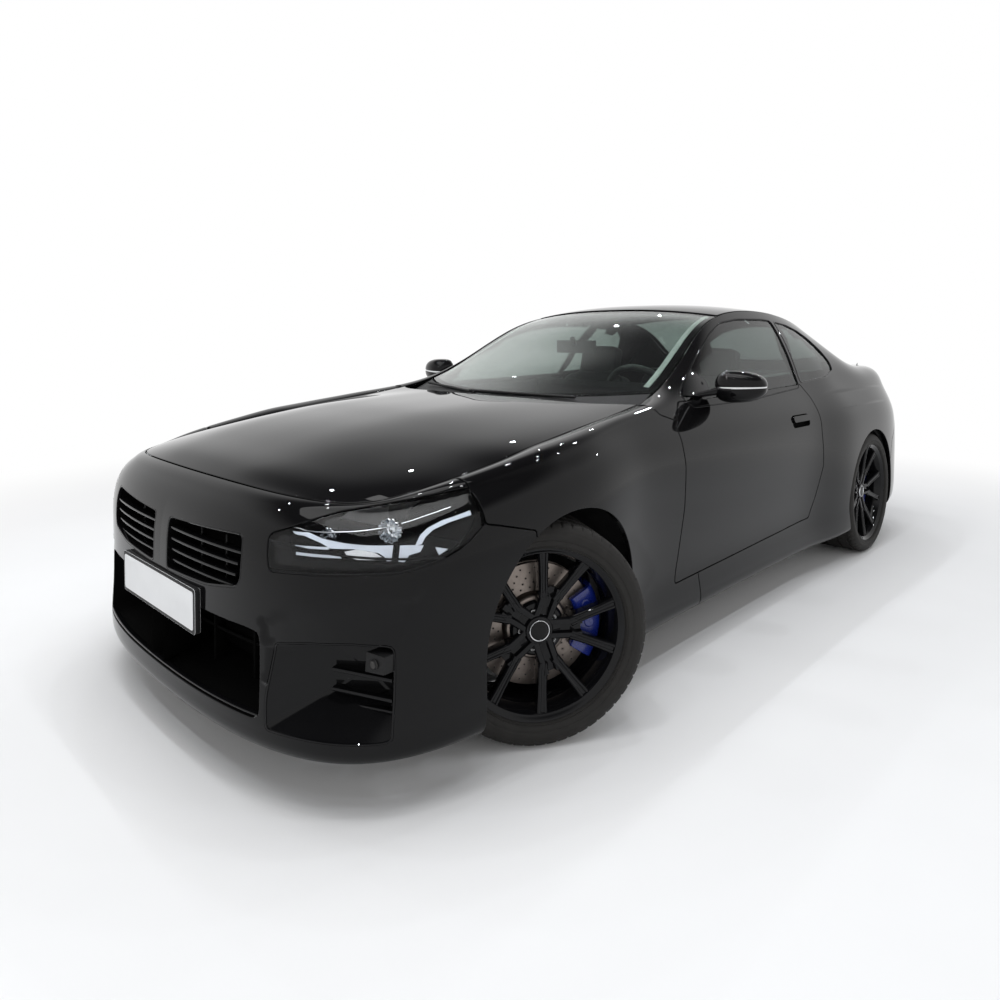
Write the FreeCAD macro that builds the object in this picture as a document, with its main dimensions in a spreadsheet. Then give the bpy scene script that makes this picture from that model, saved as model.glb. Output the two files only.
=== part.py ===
# Coupe car: two doors, four seats, front engine, rear drive.
# Millimetres. +Z is up, the nose points along -Y, the driver sits on the +X side.
# The origin lies on the ground under the middle of the car.
import math
import os

import FreeCAD
import Part
from FreeCAD import Placement, Rotation, Vector

document = FreeCAD.newDocument("coupe_car")
sheet = document.addObject("Spreadsheet::Sheet", "sizes")

driving_sizes = {
    # whole car
    "car_length": 4580, "body_width": 1887, "body_height": 1403,
    "wheel_base": 2747, "front_overhang": 862,
    # panels
    "panel_gap": 5.4, "door_gap": 8.4, "seat_clearance": 0.3, "trim_clearance": 0.54,
    "skin_wall": 18, "door_wall": 95, "pillar_wall": 32, "bonnet_wall": 26, "roof_wall": 24,
    "lid_wall": 30, "bumper_wall": 24, "glass_wall": 6, "glass_inset": 5,
    "door_hinge_half": 866, "door_hinge_setback": 778, "hinge_low": 572, "hinge_high": 720,
    "hinge_height": 46, "hinge_pin_radius": 5, "pin_clearance": 0.8, "pin_overlap": 10,
    "buffer_radius": 14, "bonnet_buffer_half": 380, "lid_buffer_setback": 3250,
    "lid_buffer_level": 980, "lid_buffer_height": 52, "lid_buffer_inner": 530,
    "lid_buffer_outer": 622, "lid_buffer_width": 34, "lid_swing": 4.5,
    "hinge_leg_wall": 20, "hinge_leg_reach": 56,
    "hinge_pocket_lead": 72, "hinge_pocket_reach": 110,
    "hinge_post_inner": 700, "hinge_post_outer": 838, "hinge_post_setback": 693,
    "door_inner_setback": 16, "door_skin_wall": 22, "lamp_wall": 24, "glass_gap": 8,
    # wheels and tyres
    "front_tyre_radius": 337.5, "rear_tyre_radius": 339.5,
    "front_tyre_width": 275, "rear_tyre_width": 285,
    "front_rim_radius": 259, "rear_rim_radius": 271.5, "tyre_side_gap": 14.5,
    "rim_wall": 10, "rim_lip": 14, "rim_well": 22, "hub_face": 88, "spoke_depth": 34,
    "spoke_count": 5, "spoke_trunk_reach": 112, "spoke_trunk_width": 62,
    "spoke_arm_width": 26, "spoke_spread": 14, "spoke_dish": 34, "hub_radius": 78,
    "front_disc_radius": 190, "rear_disc_radius": 185, "disc_wall": 32, "disc_bell_radius": 92,
    "disc_offset": 28, "caliper_wall": 30, "caliper_reach": 62, "caliper_span": 34,
    "running_gap": 5.4,
    # steering
    "kingpin_half_track": 735, "steering_rest_angle": 31.86,
    "front_arch_radius": 362, "front_arch_height": 337.5, "front_arch_shift": 12,
    "rear_arch_radius": 362, "rear_arch_shift": 14,
    "front_liner_radius": 404, "rear_liner_radius": 372, "liner_wall": 6,
    "liner_inner_half": 470, "rear_liner_inner_half": 628, "liner_edge_gap": 12,
    # floor and frame
    "floor_height": 165, "floor_wall": 26, "sill_inner_half": 735, "pad_middle": 760,
    "pad_half": 35, "pad_setback": 800, "pad_level": 148, "buffer_clearance": 1,
    "tunnel_width": 260, "tunnel_height": 250, "rail_offset": 395, "rail_width": 62,
    "rail_height": 110, "rail_level": 400,
    "firewall_setback": 498, "seat_step_setback": 2188, "bulkhead_setback": 2710,
    "sill_height": 105, "rear_floor_height": 372, "rear_floor_half": 560,
    "front_panel_setback": 200, "radiator_wall": 60, "radiator_low": 250,
    "radiator_high": 670, "firewall_height": 885, "shelf_height": 1000, "cowl_wall": 8,
    # suspension
    "arm_drop": 140, "subframe_wall": 60, "strut_offset": 530, "strut_radius": 44,
    "strut_top": 770, "spring_lift": 160, "arm_radius": 18, "ball_joint_radius": 22,
    "ball_joint_height": 36, "carrier_radius": 60, "carrier_reach": 72, "carrier_end": -14,
    "spindle_radius": 30, "spindle_end": 43.4, "differential_half": 150,
    "half_shaft_radius": 20, "knuckle_reach": 74, "eye_radius": 24, "tyre_inset": 8.5,
    # engine
    "engine_length": 640, "engine_width": 420, "engine_height": 540, "engine_floor": 245,
    # cabin
    "seat_width": 480, "seat_depth": 500, "seat_offset": 375, "seat_height": 480,
    "seat_back_height": 600, "seat_back_wall": 110, "steering_wheel_radius": 185,
    "steering_rim_radius": 16,
    "seat_setback": 1260, "seat_back_lean": 150, "seat_edge_radius": 24,
    "head_rest_height": 190, "bench_cushion": 140, "bench_half": 540, "bench_back": 440,
    "dash_rear_setback": 1060, "dash_low": 520, "dash_high": 930, "wheel_stand": 150,
    "wheel_level": 905, "column_tilt": 22, "column_radius": 32, "boss_radius": 70,
    "cabin_mirror_share": 1.43, "cabin_mirror_level": 1215, "cabin_mirror_width": 230,
    "cabin_mirror_drop": 80,
    "dash_half": 640, "mirror_reach": 1034, "wiper_radius": 6,
    "wiper_pivot": 430, "wiper_tip": 120, "wiper_far_tip": 560,
    # exhaust
    "tail_pipe_radius": 50, "tail_pipe_wall": 3, "tail_pipe_length": 190,
    "tail_pipe_inner": 330, "tail_pipe_outer": 450, "tail_pipe_level": 262,
    "silencer_half": 520, "pipe_radius": 34,
    # grilles
    "grille_depth_start": 10, "grille_depth_end": 34, "grille_frame": 12, "slat_height": 9,
    "kidney_slats": 4, "intake_slats": 3, "lower_slats": 3,
    # mirrors
    "mirror_start": 838, "mirror_depth": 150, "mirror_height": 118, "mirror_sweep": 28,
    "mirror_place_share": 1.40, "mirror_level": 1035, "mirror_foot_half": 800,
    "mirror_foot_lead": 70, "mirror_foot_level": 950, "mirror_neck_radius": 20,
    "liner_drop": 60,
}

for row, (alias, value) in enumerate(driving_sizes.items(), start=1):
    sheet.set("A%d" % row, alias)
    sheet.set("B%d" % row, str(value))
    sheet.setAlias("B%d" % row, alias)
document.recompute()


def size(alias):
    return float(sheet.get(alias))


length = size("car_length")
half_width = size("body_width") / 2
height = size("body_height")
wheel_base = size("wheel_base")
front_overhang = size("front_overhang")
rear_overhang = length - wheel_base - front_overhang
nose = -length / 2
front_axle = nose + front_overhang
rear_axle = front_axle + wheel_base
gap = size("panel_gap")
seat_clearance = size("seat_clearance")
trim_clearance = size("trim_clearance")
middle_limit = trim_clearance / 10


# Places and tables

def along(share):
    # 0 is the nose, 1 the front axle, 2 the rear axle, 3 the tail
    if share <= 1:
        return nose + front_overhang * share
    if share <= 2:
        return front_axle + wheel_base * (share - 1)
    return rear_axle + rear_overhang * (share - 2)


def reading(table, station):
    # straight-line reading of a table whose rows start with their station
    for low, high in zip(table, table[1:]):
        if station <= high[0]:
            part = (station - low[0]) / (high[0] - low[0])
            return [a + (b - a) * part for a, b in zip(low[1:], high[1:])]
    return list(table[-1][1:])


# Outline seen from above: share of the half width, place along, heading in degrees
# (-90 faces the front, 0 the side, 90 the rear)
plan_shares = (
    (0, -.005, -90), (.18, -.005, -90), (.40, .012, -86), (.60, .055, -78), (.775, .135, -62),
    (.885, .265, -42), (.945, .42, -20), (.972, .58, -7), (.990, .78, 0), (1, .93, 0),
    (1, 1, 0), (1, 1.03, 0), (.992, 1.065, 0), (.972, 1.11, 0), (.950, 1.155, 0),
    (.941, 1.21, 0), (.938, 1.283, 0), (.938, 1.374, 0), (.939, 1.483, 0),
    (.941, 1.593, 0), (.945, 1.684, 0), (.952, 1.745, 0), (.972, 1.80, 0),
    (.994, 1.86, 0), (1, 1.92, 0), (1, 2, 0), (1, 2.15, 0), (.994, 2.32, 3),
    (.975, 2.49, 10), (.935, 2.65, 24), (.855, 2.80, 48), (.70, 2.925, 70),
    (.46, 2.985, 84), (.2, 3, 90), (0, 3, 90))

# Rows from the sill up to the shoulder: station, inset share, height share
lower_row_shares = (
    ((0, .075, .093), (5, .075, .093), (8, .06, .10), (13, .06, .105), (23, .06, .110),
     (28, .06, .15), (34, .09, .19)),
    ((0, .012, .092), (5, .012, .092), (8, .012, .10), (13, .012, .108), (23, .012, .112),
     (28, .012, .15), (34, .03, .19)),
    ((0, 0, .135), (5, 0, .135), (8, 0, .14), (13, .004, .15), (23, .004, .15),
     (28, 0, .20), (34, 0, .24)),
    ((0, .010, .215), (5, .010, .215), (8, 0, .21), (12, 0, .21), (14, .030, .215),
     (20, .034, .215), (22, .02, .215), (25, 0, .215), (28, 0, .27), (34, 0, .31)),
    ((0, .016, .30), (5, .012, .30), (8, 0, .30), (12, 0, .30), (15, .022, .30),
     (20, .022, .30), (23, 0, .30), (28, 0, .34), (34, 0, .38)),
    ((0, .018, .385), (5, .008, .39), (8, 0, .40), (12, 0, .40), (15, .010, .415),
     (20, .010, .415), (23, 0, .40), (28, 0, .42), (34, .004, .45)),
    ((0, .022, .47), (5, .008, .475), (8, .004, .49), (12, 0, .50), (15, 0, .54),
     (20, 0, .54), (23, 0, .51), (28, .004, .50), (34, .012, .52)),
    ((0, .05, .522), (5, .05, .52), (8, .028, .555), (12, .012, .58), (15, .010, .60),
     (20, .010, .605), (23, .014, .595), (28, .02, .58), (34, .03, .58)))

# Shoulder: station, inset share, height share
shoulder_shares = (
    (0, .085, .545), (3, .085, .545), (5, .12, .535), (7, .085, .565), (9, .070, .600),
    (11, .075, .612), (13, .075, .630), (15, .075, .655), (16, .080, .672),
    (18, .085, .680), (21, .105, .69), (24, .14, .695), (26, .12, .685), (28, .10, .67),
    (30, .07, .65), (34, .06, .64))

# Upper edge, where bonnet, roof and boot lid meet the sides: station, half width share,
# place along, height share
seam_shares = (
    (0, 0, .137, .566), (1, .18, .138, .566), (2, .38, .155, .563), (3, .56, .19, .558),
    (4, .70, .26, .553), (5, .765, .36, .556), (6, .79, .48, .570), (7, .80, .62, .582),
    (8, .80, .78, .596), (9, .80, .92, .612), (10, .797, 1, .622), (11, .792, 1.035, .630),
    (12, .785, 1.075, .640), (13, .777, 1.12, .652), (14, .768, 1.17, .664),
    (15, .757, 1.225, .676), (16, .730, 1.305, .705), (17, .688, 1.40, .800),
    (18, .630, 1.495, .912), (19, .602, 1.593, .958), (20, .595, 1.684, .970),
    (21, .590, 1.76, .970), (22, .585, 1.83, .962), (23, .580, 1.90, .944),
    (24, .580, 1.96, .915), (25, .590, 2.05, .870), (26, .60, 2.22, .80),
    (27, .625, 2.40, .755), (28, .650, 2.55, .745), (29, .66, 2.70, .742),
    (30, .65, 2.80, .742), (31, .55, 2.865, .742), (32, .38, 2.895, .742),
    (33, .18, 2.905, .742), (34, 0, 2.905, .742))

# Roundness of the band between shoulder and seam: station, share of the half width
crown_shares = ((0, .004), (4, .004), (6, .02), (8, .035), (14, .03), (16, .02), (18, .02),
                (22, .022), (25, .035), (28, .05), (30, .05), (34, .03))
band_split_shares = (0, .22, .5, .78, .94, 1)
crown_out_share = .6
crown_up_share = .8


def side_net():
    net = []
    for station, (width_share, place, heading) in enumerate(plan_shares):
        facing = Vector(math.cos(math.radians(heading)), math.sin(math.radians(heading)), 0)
        edge = Vector(width_share * half_width, along(place), 0)
        column = []
        for row in lower_row_shares + (shoulder_shares,):
            inset, level = reading(row, station)
            pole = edge - facing * (inset * half_width)
            column.append(Vector(max(pole.x, 0), pole.y, level * height))
        shoulder = column.pop()
        seam_width, seam_place, seam_level = seam_shares[station][1:]
        seam = Vector(seam_width * half_width, along(seam_place), seam_level * height)
        crown = reading(crown_shares, station)[0] * half_width
        for share in band_split_shares:
            swell = 4 * share * (1 - share) * crown
            pole = shoulder + (seam - shoulder) * share + facing * (swell * crown_out_share)
            pole.z += swell * crown_up_share
            if station in (0, len(plan_shares) - 1):
                pole.x = 0
            column.append(pole)
        net.append(column)
    return net


# Surfaces and slabs

degree = 3


def knot_line(count):
    spans = count - degree
    knots = [step / spans for step in range(spans + 1)]
    repeats = [degree + 1] + [1] * (spans - 1) + [degree + 1]
    return knots, repeats


def pole_surface(net):
    knots_u, repeats_u = knot_line(len(net))
    knots_v, repeats_v = knot_line(len(net[0]))
    surface = Part.BSplineSurface()
    surface.buildFromPolesMultsKnots(net, repeats_u, repeats_v, knots_u, knots_v,
                                     False, False, degree, degree)
    return surface


def point_surface(grid):
    surface = Part.BSplineSurface()
    surface.interpolate(grid)
    return surface


def sunk(grid, depth):
    # the same grid moved inward along its own normals; the middle of the car stays in plane
    last_row = len(grid) - 1
    last_column = len(grid[0]) - 1
    result = []
    for i, row in enumerate(grid):
        moved = []
        for j, point in enumerate(row):
            over = grid[min(i + 1, last_row)][j] - grid[max(i - 1, 0)][j]
            up = grid[i][min(j + 1, last_column)] - grid[i][max(j - 1, 0)]
            normal = over.cross(up).normalize()
            inner = point - normal * depth
            if abs(point.x) < middle_limit:
                inner.x = 0
            moved.append(inner)
        result.append(moved)
    return result


def slab(outer, inner):
    # closed solid between two surfaces with matching edges
    u_low, u_high, v_low, v_high = outer.bounds()
    inner_u_low, inner_u_high, inner_v_low, inner_v_high = inner.bounds()
    pairs = ((outer.uIso(u_low), inner.uIso(inner_u_low)),
             (outer.uIso(u_high), inner.uIso(inner_u_high)),
             (outer.vIso(v_low), inner.vIso(inner_v_low)),
             (outer.vIso(v_high), inner.vIso(inner_v_high)))
    faces = [outer.toShape(), inner.toShape()]
    faces += [Part.makeRuledSurface(a.toShape(), b.toShape()) for a, b in pairs]
    compound = Part.makeCompound(faces)
    compound.sewShape()
    solid = Part.Solid(compound.Shells[0])
    if solid.Volume < 0:
        solid.reverse()
    return solid


def mirrored(shape):
    return shape.mirror(Vector(0, 0, 0), Vector(1, 0, 0))


def both_halves(shape):
    return shape.fuse(mirrored(shape)).removeSplitter()


# Bonnet, roof and boot lid surfaces, all hung on the seam line

seam_curve = Part.BSplineCurve()
seam_knots, seam_repeats = knot_line(len(seam_shares))
seam_curve.buildFromPolesMultsKnots(
    [Vector(0 if station in (0, len(seam_shares) - 1) else width_share * half_width,
            along(place), level * height)
     for station, width_share, place, level in seam_shares],
    seam_repeats, seam_knots, False, degree)
seam_steps = 900
seam_points = [seam_curve.value(step / seam_steps) for step in range(seam_steps + 1)]


def seam_at_place(place):
    # the seam point beside the middle line at a place along the car
    for low, high in zip(seam_points, seam_points[1:]):
        if low.y <= place <= high.y and low.x > 0:
            return low + (high - low) * ((place - low.y) / (high.y - low.y))
    raise ValueError("the seam does not reach this place")


def seam_at_width(width, points):
    # the seam point at a distance from the middle, along one end of the car
    for low, high in zip(points, points[1:]):
        if low.x <= width <= high.x:
            return low + (high - low) * ((width - low.x) / (high.x - low.x))
    raise ValueError("the seam does not reach this width")


column_shares = (1, .945, .88, .72, .55, .38, .2, 0)
bow_power = 2.2
sag_power = 2.4

# Bonnet: place of the edge, then place and height of the middle line, fold height share
bonnet_shares = (
    (.245, .150, .567, .004), (.29, .178, .578, .0045), (.34, .21, .588, .005),
    (.47, .32, .6075, .006), (.62, .46, .6265, .008), (.78, .63, .6445, .009),
    (.94, .80, .657, .009), (1.04, .95, .666, .009), (1.11, 1.05, .674, .008),
    (1.18, 1.12, .681, .006), (1.245, 1.175, .686, .004))
dome_shares = ((0, 1), (.38, 1), (.55, .55), (.72, .08), (.88, 0), (1, 0))

# Windscreen, roof and rear window: place and height of the middle line, bow share
roof_shares = (
    (1.212, .690, .090), (1.25, .722, .086), (1.31, .774, .078), (1.38, .834, .066),
    (1.455, .905, .050), (1.515, .953, .032), (1.575, .981, .016), (1.64, .995, .006),
    (1.71, 1, 0), (1.79, .996, 0), (1.87, .984, -.006), (1.955, .957, -.018),
    (2.08, .912, -.036), (2.24, .848, -.058), (2.40, .785, -.072), (2.48, .7585, -.077))

# Boot lid: place of the edge, place and height of the middle line
deck_shares = (
    (2.270, 2.488, .7565), (2.37, 2.555, .752), (2.49, 2.635, .748), (2.60, 2.71, .7455),
    (2.70, 2.785, .744), (2.80, 2.865, .743))


def bonnet_grid():
    front = [point for point in seam_points if point.y < along(bonnet_shares[0][0])]
    corner = seam_at_place(along(bonnet_shares[0][0]))
    front.append(corner)
    start = front[0]
    first_row = [seam_at_width(share * corner.x, front) for share in column_shares]
    grid = [first_row]
    bend = [(point.y - start.y) / (corner.y - start.y) for point in first_row]
    for edge_place, middle_place, middle_level, fold in bonnet_shares[1:]:
        edge = seam_at_place(along(edge_place))
        middle = Vector(0, along(middle_place), middle_level * height)
        row = []
        for share, curl in zip(column_shares, bend):
            dome = reading(dome_shares, share)[0] * fold
            row.append(Vector(share * edge.x, middle.y + (edge.y - middle.y) * curl,
                              middle.z + (edge.z - middle.z) * share ** sag_power
                              + dome * height))
        grid.append(row)
    return grid


def roof_grid():
    grid = []
    for place, level, bow in roof_shares:
        edge = seam_at_place(along(place) + bow * wheel_base)
        middle = Vector(0, along(place), level * height)
        grid.append([Vector(share * edge.x,
                            middle.y + (edge.y - middle.y) * share ** bow_power,
                            middle.z + (edge.z - middle.z) * share ** sag_power)
                     for share in column_shares])
    return grid


def deck_grid():
    grid = []
    for edge_place, middle_place, middle_level in deck_shares:
        edge = seam_at_place(along(edge_place))
        middle = Vector(0, along(middle_place), middle_level * height)
        grid.append([Vector(share * edge.x,
                            middle.y + (edge.y - middle.y) * share ** bow_power,
                            middle.z + (edge.z - middle.z) * share ** sag_power)
                     for share in column_shares])
    tail = [point for point in reversed(seam_points)
            if point.y > along(deck_shares[-1][0]) + gap]
    corner = tail[-1]
    grid.append([seam_at_width(share * corner.x, tail) for share in column_shares])
    return grid


def patch(grid, depth, window):
    # part of a surface sunk by a depth; the window is its share of rows and columns
    surface = point_surface(sunk(grid, depth) if depth else grid)
    u_low, u_high, v_low, v_high = surface.bounds()
    row_low, row_high, column_low, column_high = window
    surface.segment(u_low + (u_high - u_low) * row_low, u_low + (u_high - u_low) * row_high,
                    v_low + (v_high - v_low) * column_low,
                    v_low + (v_high - v_low) * column_high)
    return surface


# Outlines: (place along, height share) on the side, (half width share, height share) ahead

door_outline_shares = (
    (1.301, .688), (1.261, .627), (1.262, .570), (1.268, .523), (1.271, .409), (1.262, .275),
    (1.254, .207), (1.40, .211), (1.60, .219), (1.718, .227), (1.737, .289), (1.762, .408),
    (1.758, .470), (1.751, .532), (1.750, .656), (1.738, .702), (1.52, .692))
door_glass_shares = (
    (1.316, .7035), (1.375, .756), (1.43, .813), (1.506, .885), (1.558, .921), (1.624, .936),
    (1.726, .940), (1.772, .936), (1.731, .69), (1.52, .67), (1.33, .67))
quarter_glass_shares = (
    (1.785, .934), (1.839, .924), (1.882, .903), (1.912, .872), (1.932, .825),
    (1.938, .775), (1.925, .742), (1.872, .720), (1.744, .7065))
fender_shares = (
    (.600, .5095), (.651, .5025), (.80, .478), (.80, .1505), (1.32, .1505), (1.32, .655),
    (1.274, .640), (1.240, .662), (1.230, .70), (1.230, 1.1), (.600, 1.1))
bumper_shares = (
    (-.1, -.1), (-.1, 1.1), (.5997, 1.1), (.5997, .5092), (.651, .5022), (.80, .4777),
    (.80, -.1))
side_panel_shares = (
    (1.10, -.1), (1.10, .1502), (1.32, .1502), (1.32, .6547), (1.2745, .6397),
    (1.2403, .6622), (1.2303, .7002), (1.2303, 1.1), (3.1, 1.1), (3.1, .5453), (2.68, .5453),
    (2.44, .4503), (2.395, .4303), (2.30, .25), (2.30, -.1))
rear_bumper_shares = (
    (2.3003, -.1), (2.3003, .25), (2.3953, .43), (2.44, .45), (2.68, .545), (3.1, .545),
    (3.1, -.1))
lamp_shares = (
    (.573, .502), (.632, .517), (.707, .542), (.796, .5565), (.849, .5655), (.879, .5725),
    (.93, .5725), (.948, .545), (.952, .510), (.951, .483), (.942, .465), (.925, .455),
    (.893, .4455), (.831, .446), (.697, .4425), (.598, .4375))
lamp_end_share = .5994
grille_shares = (
    (.052, .474), (.062, .480), (.464, .491), (.480, .486), (.489, .456), (.487, .410),
    (.470, .392), (.318, .376), (.062, .370), (.052, .376))
lower_intake_shares = (
    (.0, .322), (.50, .322), (.556, .318), (.562, .30), (.567, .168), (.55, .160), (.0, .160))
outer_intake_shares = (
    (.632, .309), (.795, .313), (.880, .311), (.884, .300), (.886, .146), (.875, .142),
    (.729, .145), (.60, .151), (.596, .20))
tail_lamp_shares = (
    (.46, .655), (.60, .664), (.80, .664), (.96, .655), (.96, .605), (.86, .596), (.70, .600),
    (.60, .585), (.52, .585), (.45, .62))
tail_lamp_start_share = 2.66
lid_face_start_share = 2.3
tail_limit_share = 3.1
lid_face_shares = ((-.05, .5495), (.50, .5495), (.545, .585), (.545, .738), (-.05, .738))
lid_opening_shares = lid_face_shares[:3] + ((.545, .9), (-.05, .9))


def side_wire(shares, shift=0):
    points = [Vector(0, along(place), level * height) for place, level in shares]
    return shifted_face(points, shift)


def front_wire(shares, shift=0):
    points = [Vector(width_share * half_width, 0, level * height)
              for width_share, level in shares]
    return shifted_face(points, shift)


def shifted_face(points, shift):
    wire = Part.makePolygon(points + points[:1])
    if shift:
        wire = wire.makeOffset2D(shift)
    return Part.Face(wire)


def side_prism(shares, shift=0):
    # runs outward from just beyond the middle to past the widest point
    face = side_wire(shares, shift)
    return face.extrude(Vector(half_width * 2, 0, 0))


def front_prism(shares, place_low, place_high, shift=0):
    face = front_wire(shares, shift)
    face.translate(Vector(0, along(place_low), 0))
    return face.extrude(Vector(0, along(place_high) - along(place_low), 0))


# Body panels

skin_wall = size("skin_wall")
pillar_wall = size("pillar_wall")
bumper_wall = size("bumper_wall")
glass_wall = size("glass_wall")
glass_inset = size("glass_inset")
net = side_net()
outer_surface = pole_surface(net)
nodes = {}


def side_slab(depth, start=0):
    outer = pole_surface(sunk(net, start)) if start else outer_surface
    return slab(outer, pole_surface(sunk(net, depth)))


def keep(label, shape):
    # one sub-part as an object of the document, with its own place and label
    item = document.addObject("Part::Feature", label)
    item.Shape = shape
    item.Placement = Placement(Vector(0, 0, 0), Rotation(0, 0, 0))
    item.Label = label
    nodes[label] = item
    return item


def keep_pair(label, shape):
    keep(label + "_left", shape)
    keep(label + "_right", mirrored(shape))


skin = side_slab(skin_wall)
thick_skin = side_slab(pillar_wall)
bumper_skin = side_slab(bumper_wall)
seat_skin = side_slab(pillar_wall + seat_clearance)
door_opening = side_prism(door_outline_shares, size("door_gap"))
door_glass_opening = side_prism(door_glass_shares, size("glass_gap"))
lamp_opening = front_prism(lamp_shares, bumper_shares[0][0], lamp_end_share)
tail_lamp_opening = front_prism(tail_lamp_shares, tail_lamp_start_share, tail_limit_share)


def arch(center, radius, shift, drop=0):
    # round cut through the body side above a wheel
    start = Vector(half_width / 2, center + shift, size("front_arch_height") - drop)
    return Part.makeCylinder(radius, half_width, start, Vector(1, 0, 0))


front_arch = arch(front_axle, size("front_arch_radius"), size("front_arch_shift"))
rear_arch = arch(rear_axle, size("rear_arch_radius"), size("rear_arch_shift"))

fender = skin.common(side_prism(fender_shares)).cut(door_opening).cut(front_arch)
keep_pair("fender", fender)

arch_radius = size("front_arch_radius")
arch_foot = Part.makeBox(half_width, arch_radius, size("front_arch_height"),
                         Vector(half_width / 2, front_axle + size("front_arch_shift")
                                - arch_radius, 0))
bumper = bumper_skin.common(side_prism(bumper_shares)).cut(lamp_opening)
bumper = bumper.cut(front_arch).cut(arch_foot)
for shares in (grille_shares, lower_intake_shares, outer_intake_shares):
    bumper = bumper.cut(front_prism(shares, bumper_shares[0][0], 1))
keep("front_bumper", both_halves(bumper))

lamp_skin = side_slab(size("lamp_wall"))
lamp = lamp_skin.common(front_prism(lamp_shares, bumper_shares[0][0], lamp_end_share,
                                    -seat_clearance))
keep("headlamps", Part.makeCompound([lamp, mirrored(lamp)]))

side_panel = thick_skin.common(side_prism(side_panel_shares))
lid_region = front_prism(lid_opening_shares, lid_face_start_share, tail_limit_share, gap)
quarter_opening = side_prism(quarter_glass_shares, seat_clearance)
for cutter in (door_opening, door_glass_opening, quarter_opening, front_arch, rear_arch,
               tail_lamp_opening, lid_region):
    side_panel = side_panel.cut(cutter)

rear_bumper = bumper_skin.common(side_prism(rear_bumper_shares)).cut(tail_lamp_opening)
rear_bumper = rear_bumper.cut(rear_arch)
for reach in (size("tail_pipe_inner"), size("tail_pipe_outer")):
    rear_bumper = rear_bumper.cut(Part.makeCylinder(
        size("tail_pipe_radius") + gap, rear_overhang,
        Vector(reach, along(tail_lamp_start_share), size("tail_pipe_level")),
        Vector(0, 1, 0)))
keep("rear_bumper", both_halves(rear_bumper))

tail_lamp = lamp_skin.common(front_prism(tail_lamp_shares, tail_lamp_start_share,
                                         tail_limit_share, -seat_clearance)).cut(lid_region)
keep("tail_lamps", Part.makeCompound([tail_lamp, mirrored(tail_lamp)]))

# Doors: an outer skin to the shut line, and a thick inner part set back from it
door_skin = side_slab(size("door_skin_wall")).common(side_prism(door_outline_shares))
door_face = outer_surface.toShape().common(
    side_prism(door_outline_shares, -size("door_inner_setback")))
door_core = door_face.extrude(Vector(-size("door_wall"), 0, 0))
door = door_skin.fuse(door_core)

# Door hinges: a pin inside each pocket of the door, held by a bent leg from the door post
hinge_axis = (size("door_hinge_half"), front_axle + size("door_hinge_setback"))
hinge_height = size("hinge_height")
pin_radius = size("hinge_pin_radius")
leg_wall = size("hinge_leg_wall")
leg_reach = size("hinge_leg_reach")
post_rear = front_axle + size("hinge_post_setback")
hinge_parts = []
for level in (size("hinge_low"), size("hinge_high")):
    pocket_corner = Vector(hinge_axis[0] - size("hinge_pocket_reach"),
                           hinge_axis[1] - size("hinge_pocket_lead"), level)
    door = door.cut(Part.makeBox(
        size("hinge_pocket_reach") + pin_radius + size("pin_clearance"),
        size("hinge_pocket_lead") + leg_wall, hinge_height, pocket_corner))
    pin_overlap = size("pin_overlap")
    pin_foot = Vector(hinge_axis[0], hinge_axis[1], level - pin_overlap)
    pin = Part.makeCylinder(pin_radius, hinge_height + 2 * pin_overlap, pin_foot)
    door = door.cut(Part.makeCylinder(
        pin_radius + size("pin_clearance"),
        hinge_height + 2 * pin_overlap + 2 * size("pin_clearance"),
        pin_foot - Vector(0, 0, size("pin_clearance"))))
    leg_level = level + gap
    leg_height = hinge_height - 2 * gap
    hinge_parts += [
        pin,
        Part.makeBox(leg_reach + leg_wall, 2 * pin_radius, leg_height,
                     Vector(hinge_axis[0] - leg_reach - leg_wall, hinge_axis[1] - pin_radius,
                            leg_level)),
        Part.makeBox(leg_wall, hinge_axis[1] + pin_radius - post_rear + seat_clearance,
                     leg_height,
                     Vector(hinge_axis[0] - leg_reach - leg_wall, post_rear - seat_clearance,
                            leg_level))]
keep_pair("door", door)

glass_skin = side_slab(glass_inset + glass_wall, glass_inset)
door_glass = glass_skin.common(side_prism(door_glass_shares))
door_glass = door_glass.cut(side_prism(door_outline_shares, seat_clearance))
keep_pair("door_glass", door_glass)

quarter_glass = glass_skin.common(side_prism(quarter_glass_shares))


def seam_room(place_low, place_high):
    # upright prism over the left half, a running gap inside the seam seen from above
    edge = [Vector(point.x, point.y, 0) for point in seam_points
            if place_low < point.y < place_high]
    edge = [Vector(-half_width, edge[0].y, 0)] + edge + [Vector(-half_width, edge[-1].y, 0)]
    face = Part.Face(Part.makePolygon(edge + edge[:1]).makeOffset2D(-gap))
    return face.extrude(Vector(0, 0, height)).common(
        Part.makeBox(half_width, length, height, Vector(0, nose, 0)))


# Bonnet, with edges that lean inward below the surface
bonnet_lines = bonnet_grid()
bonnet_window_shares = (.0075, .994, .0095, 1)
bonnet_inner_shares = (.085, .975, .06, 1)
bonnet = slab(patch(bonnet_lines, 0, bonnet_window_shares),
              patch(bonnet_lines, size("bonnet_wall"), bonnet_inner_shares))
bonnet = bonnet.common(seam_room(nose, along(bonnet_shares[-1][0]) + size("bonnet_wall")))
keep("bonnet", both_halves(bonnet))

# Roof, windscreen and rear window share one surface
roof_lines = roof_grid()
header_share = .362
rear_header_share = .735
edge_share = .012


def roof_piece(label_walls, row_low, row_high):
    start, wall = label_walls
    window = (row_low, row_high, edge_share, 1)
    piece = slab(patch(roof_lines, start, window), patch(roof_lines, start + wall, window))
    return piece.cut(seat_skin)


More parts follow.
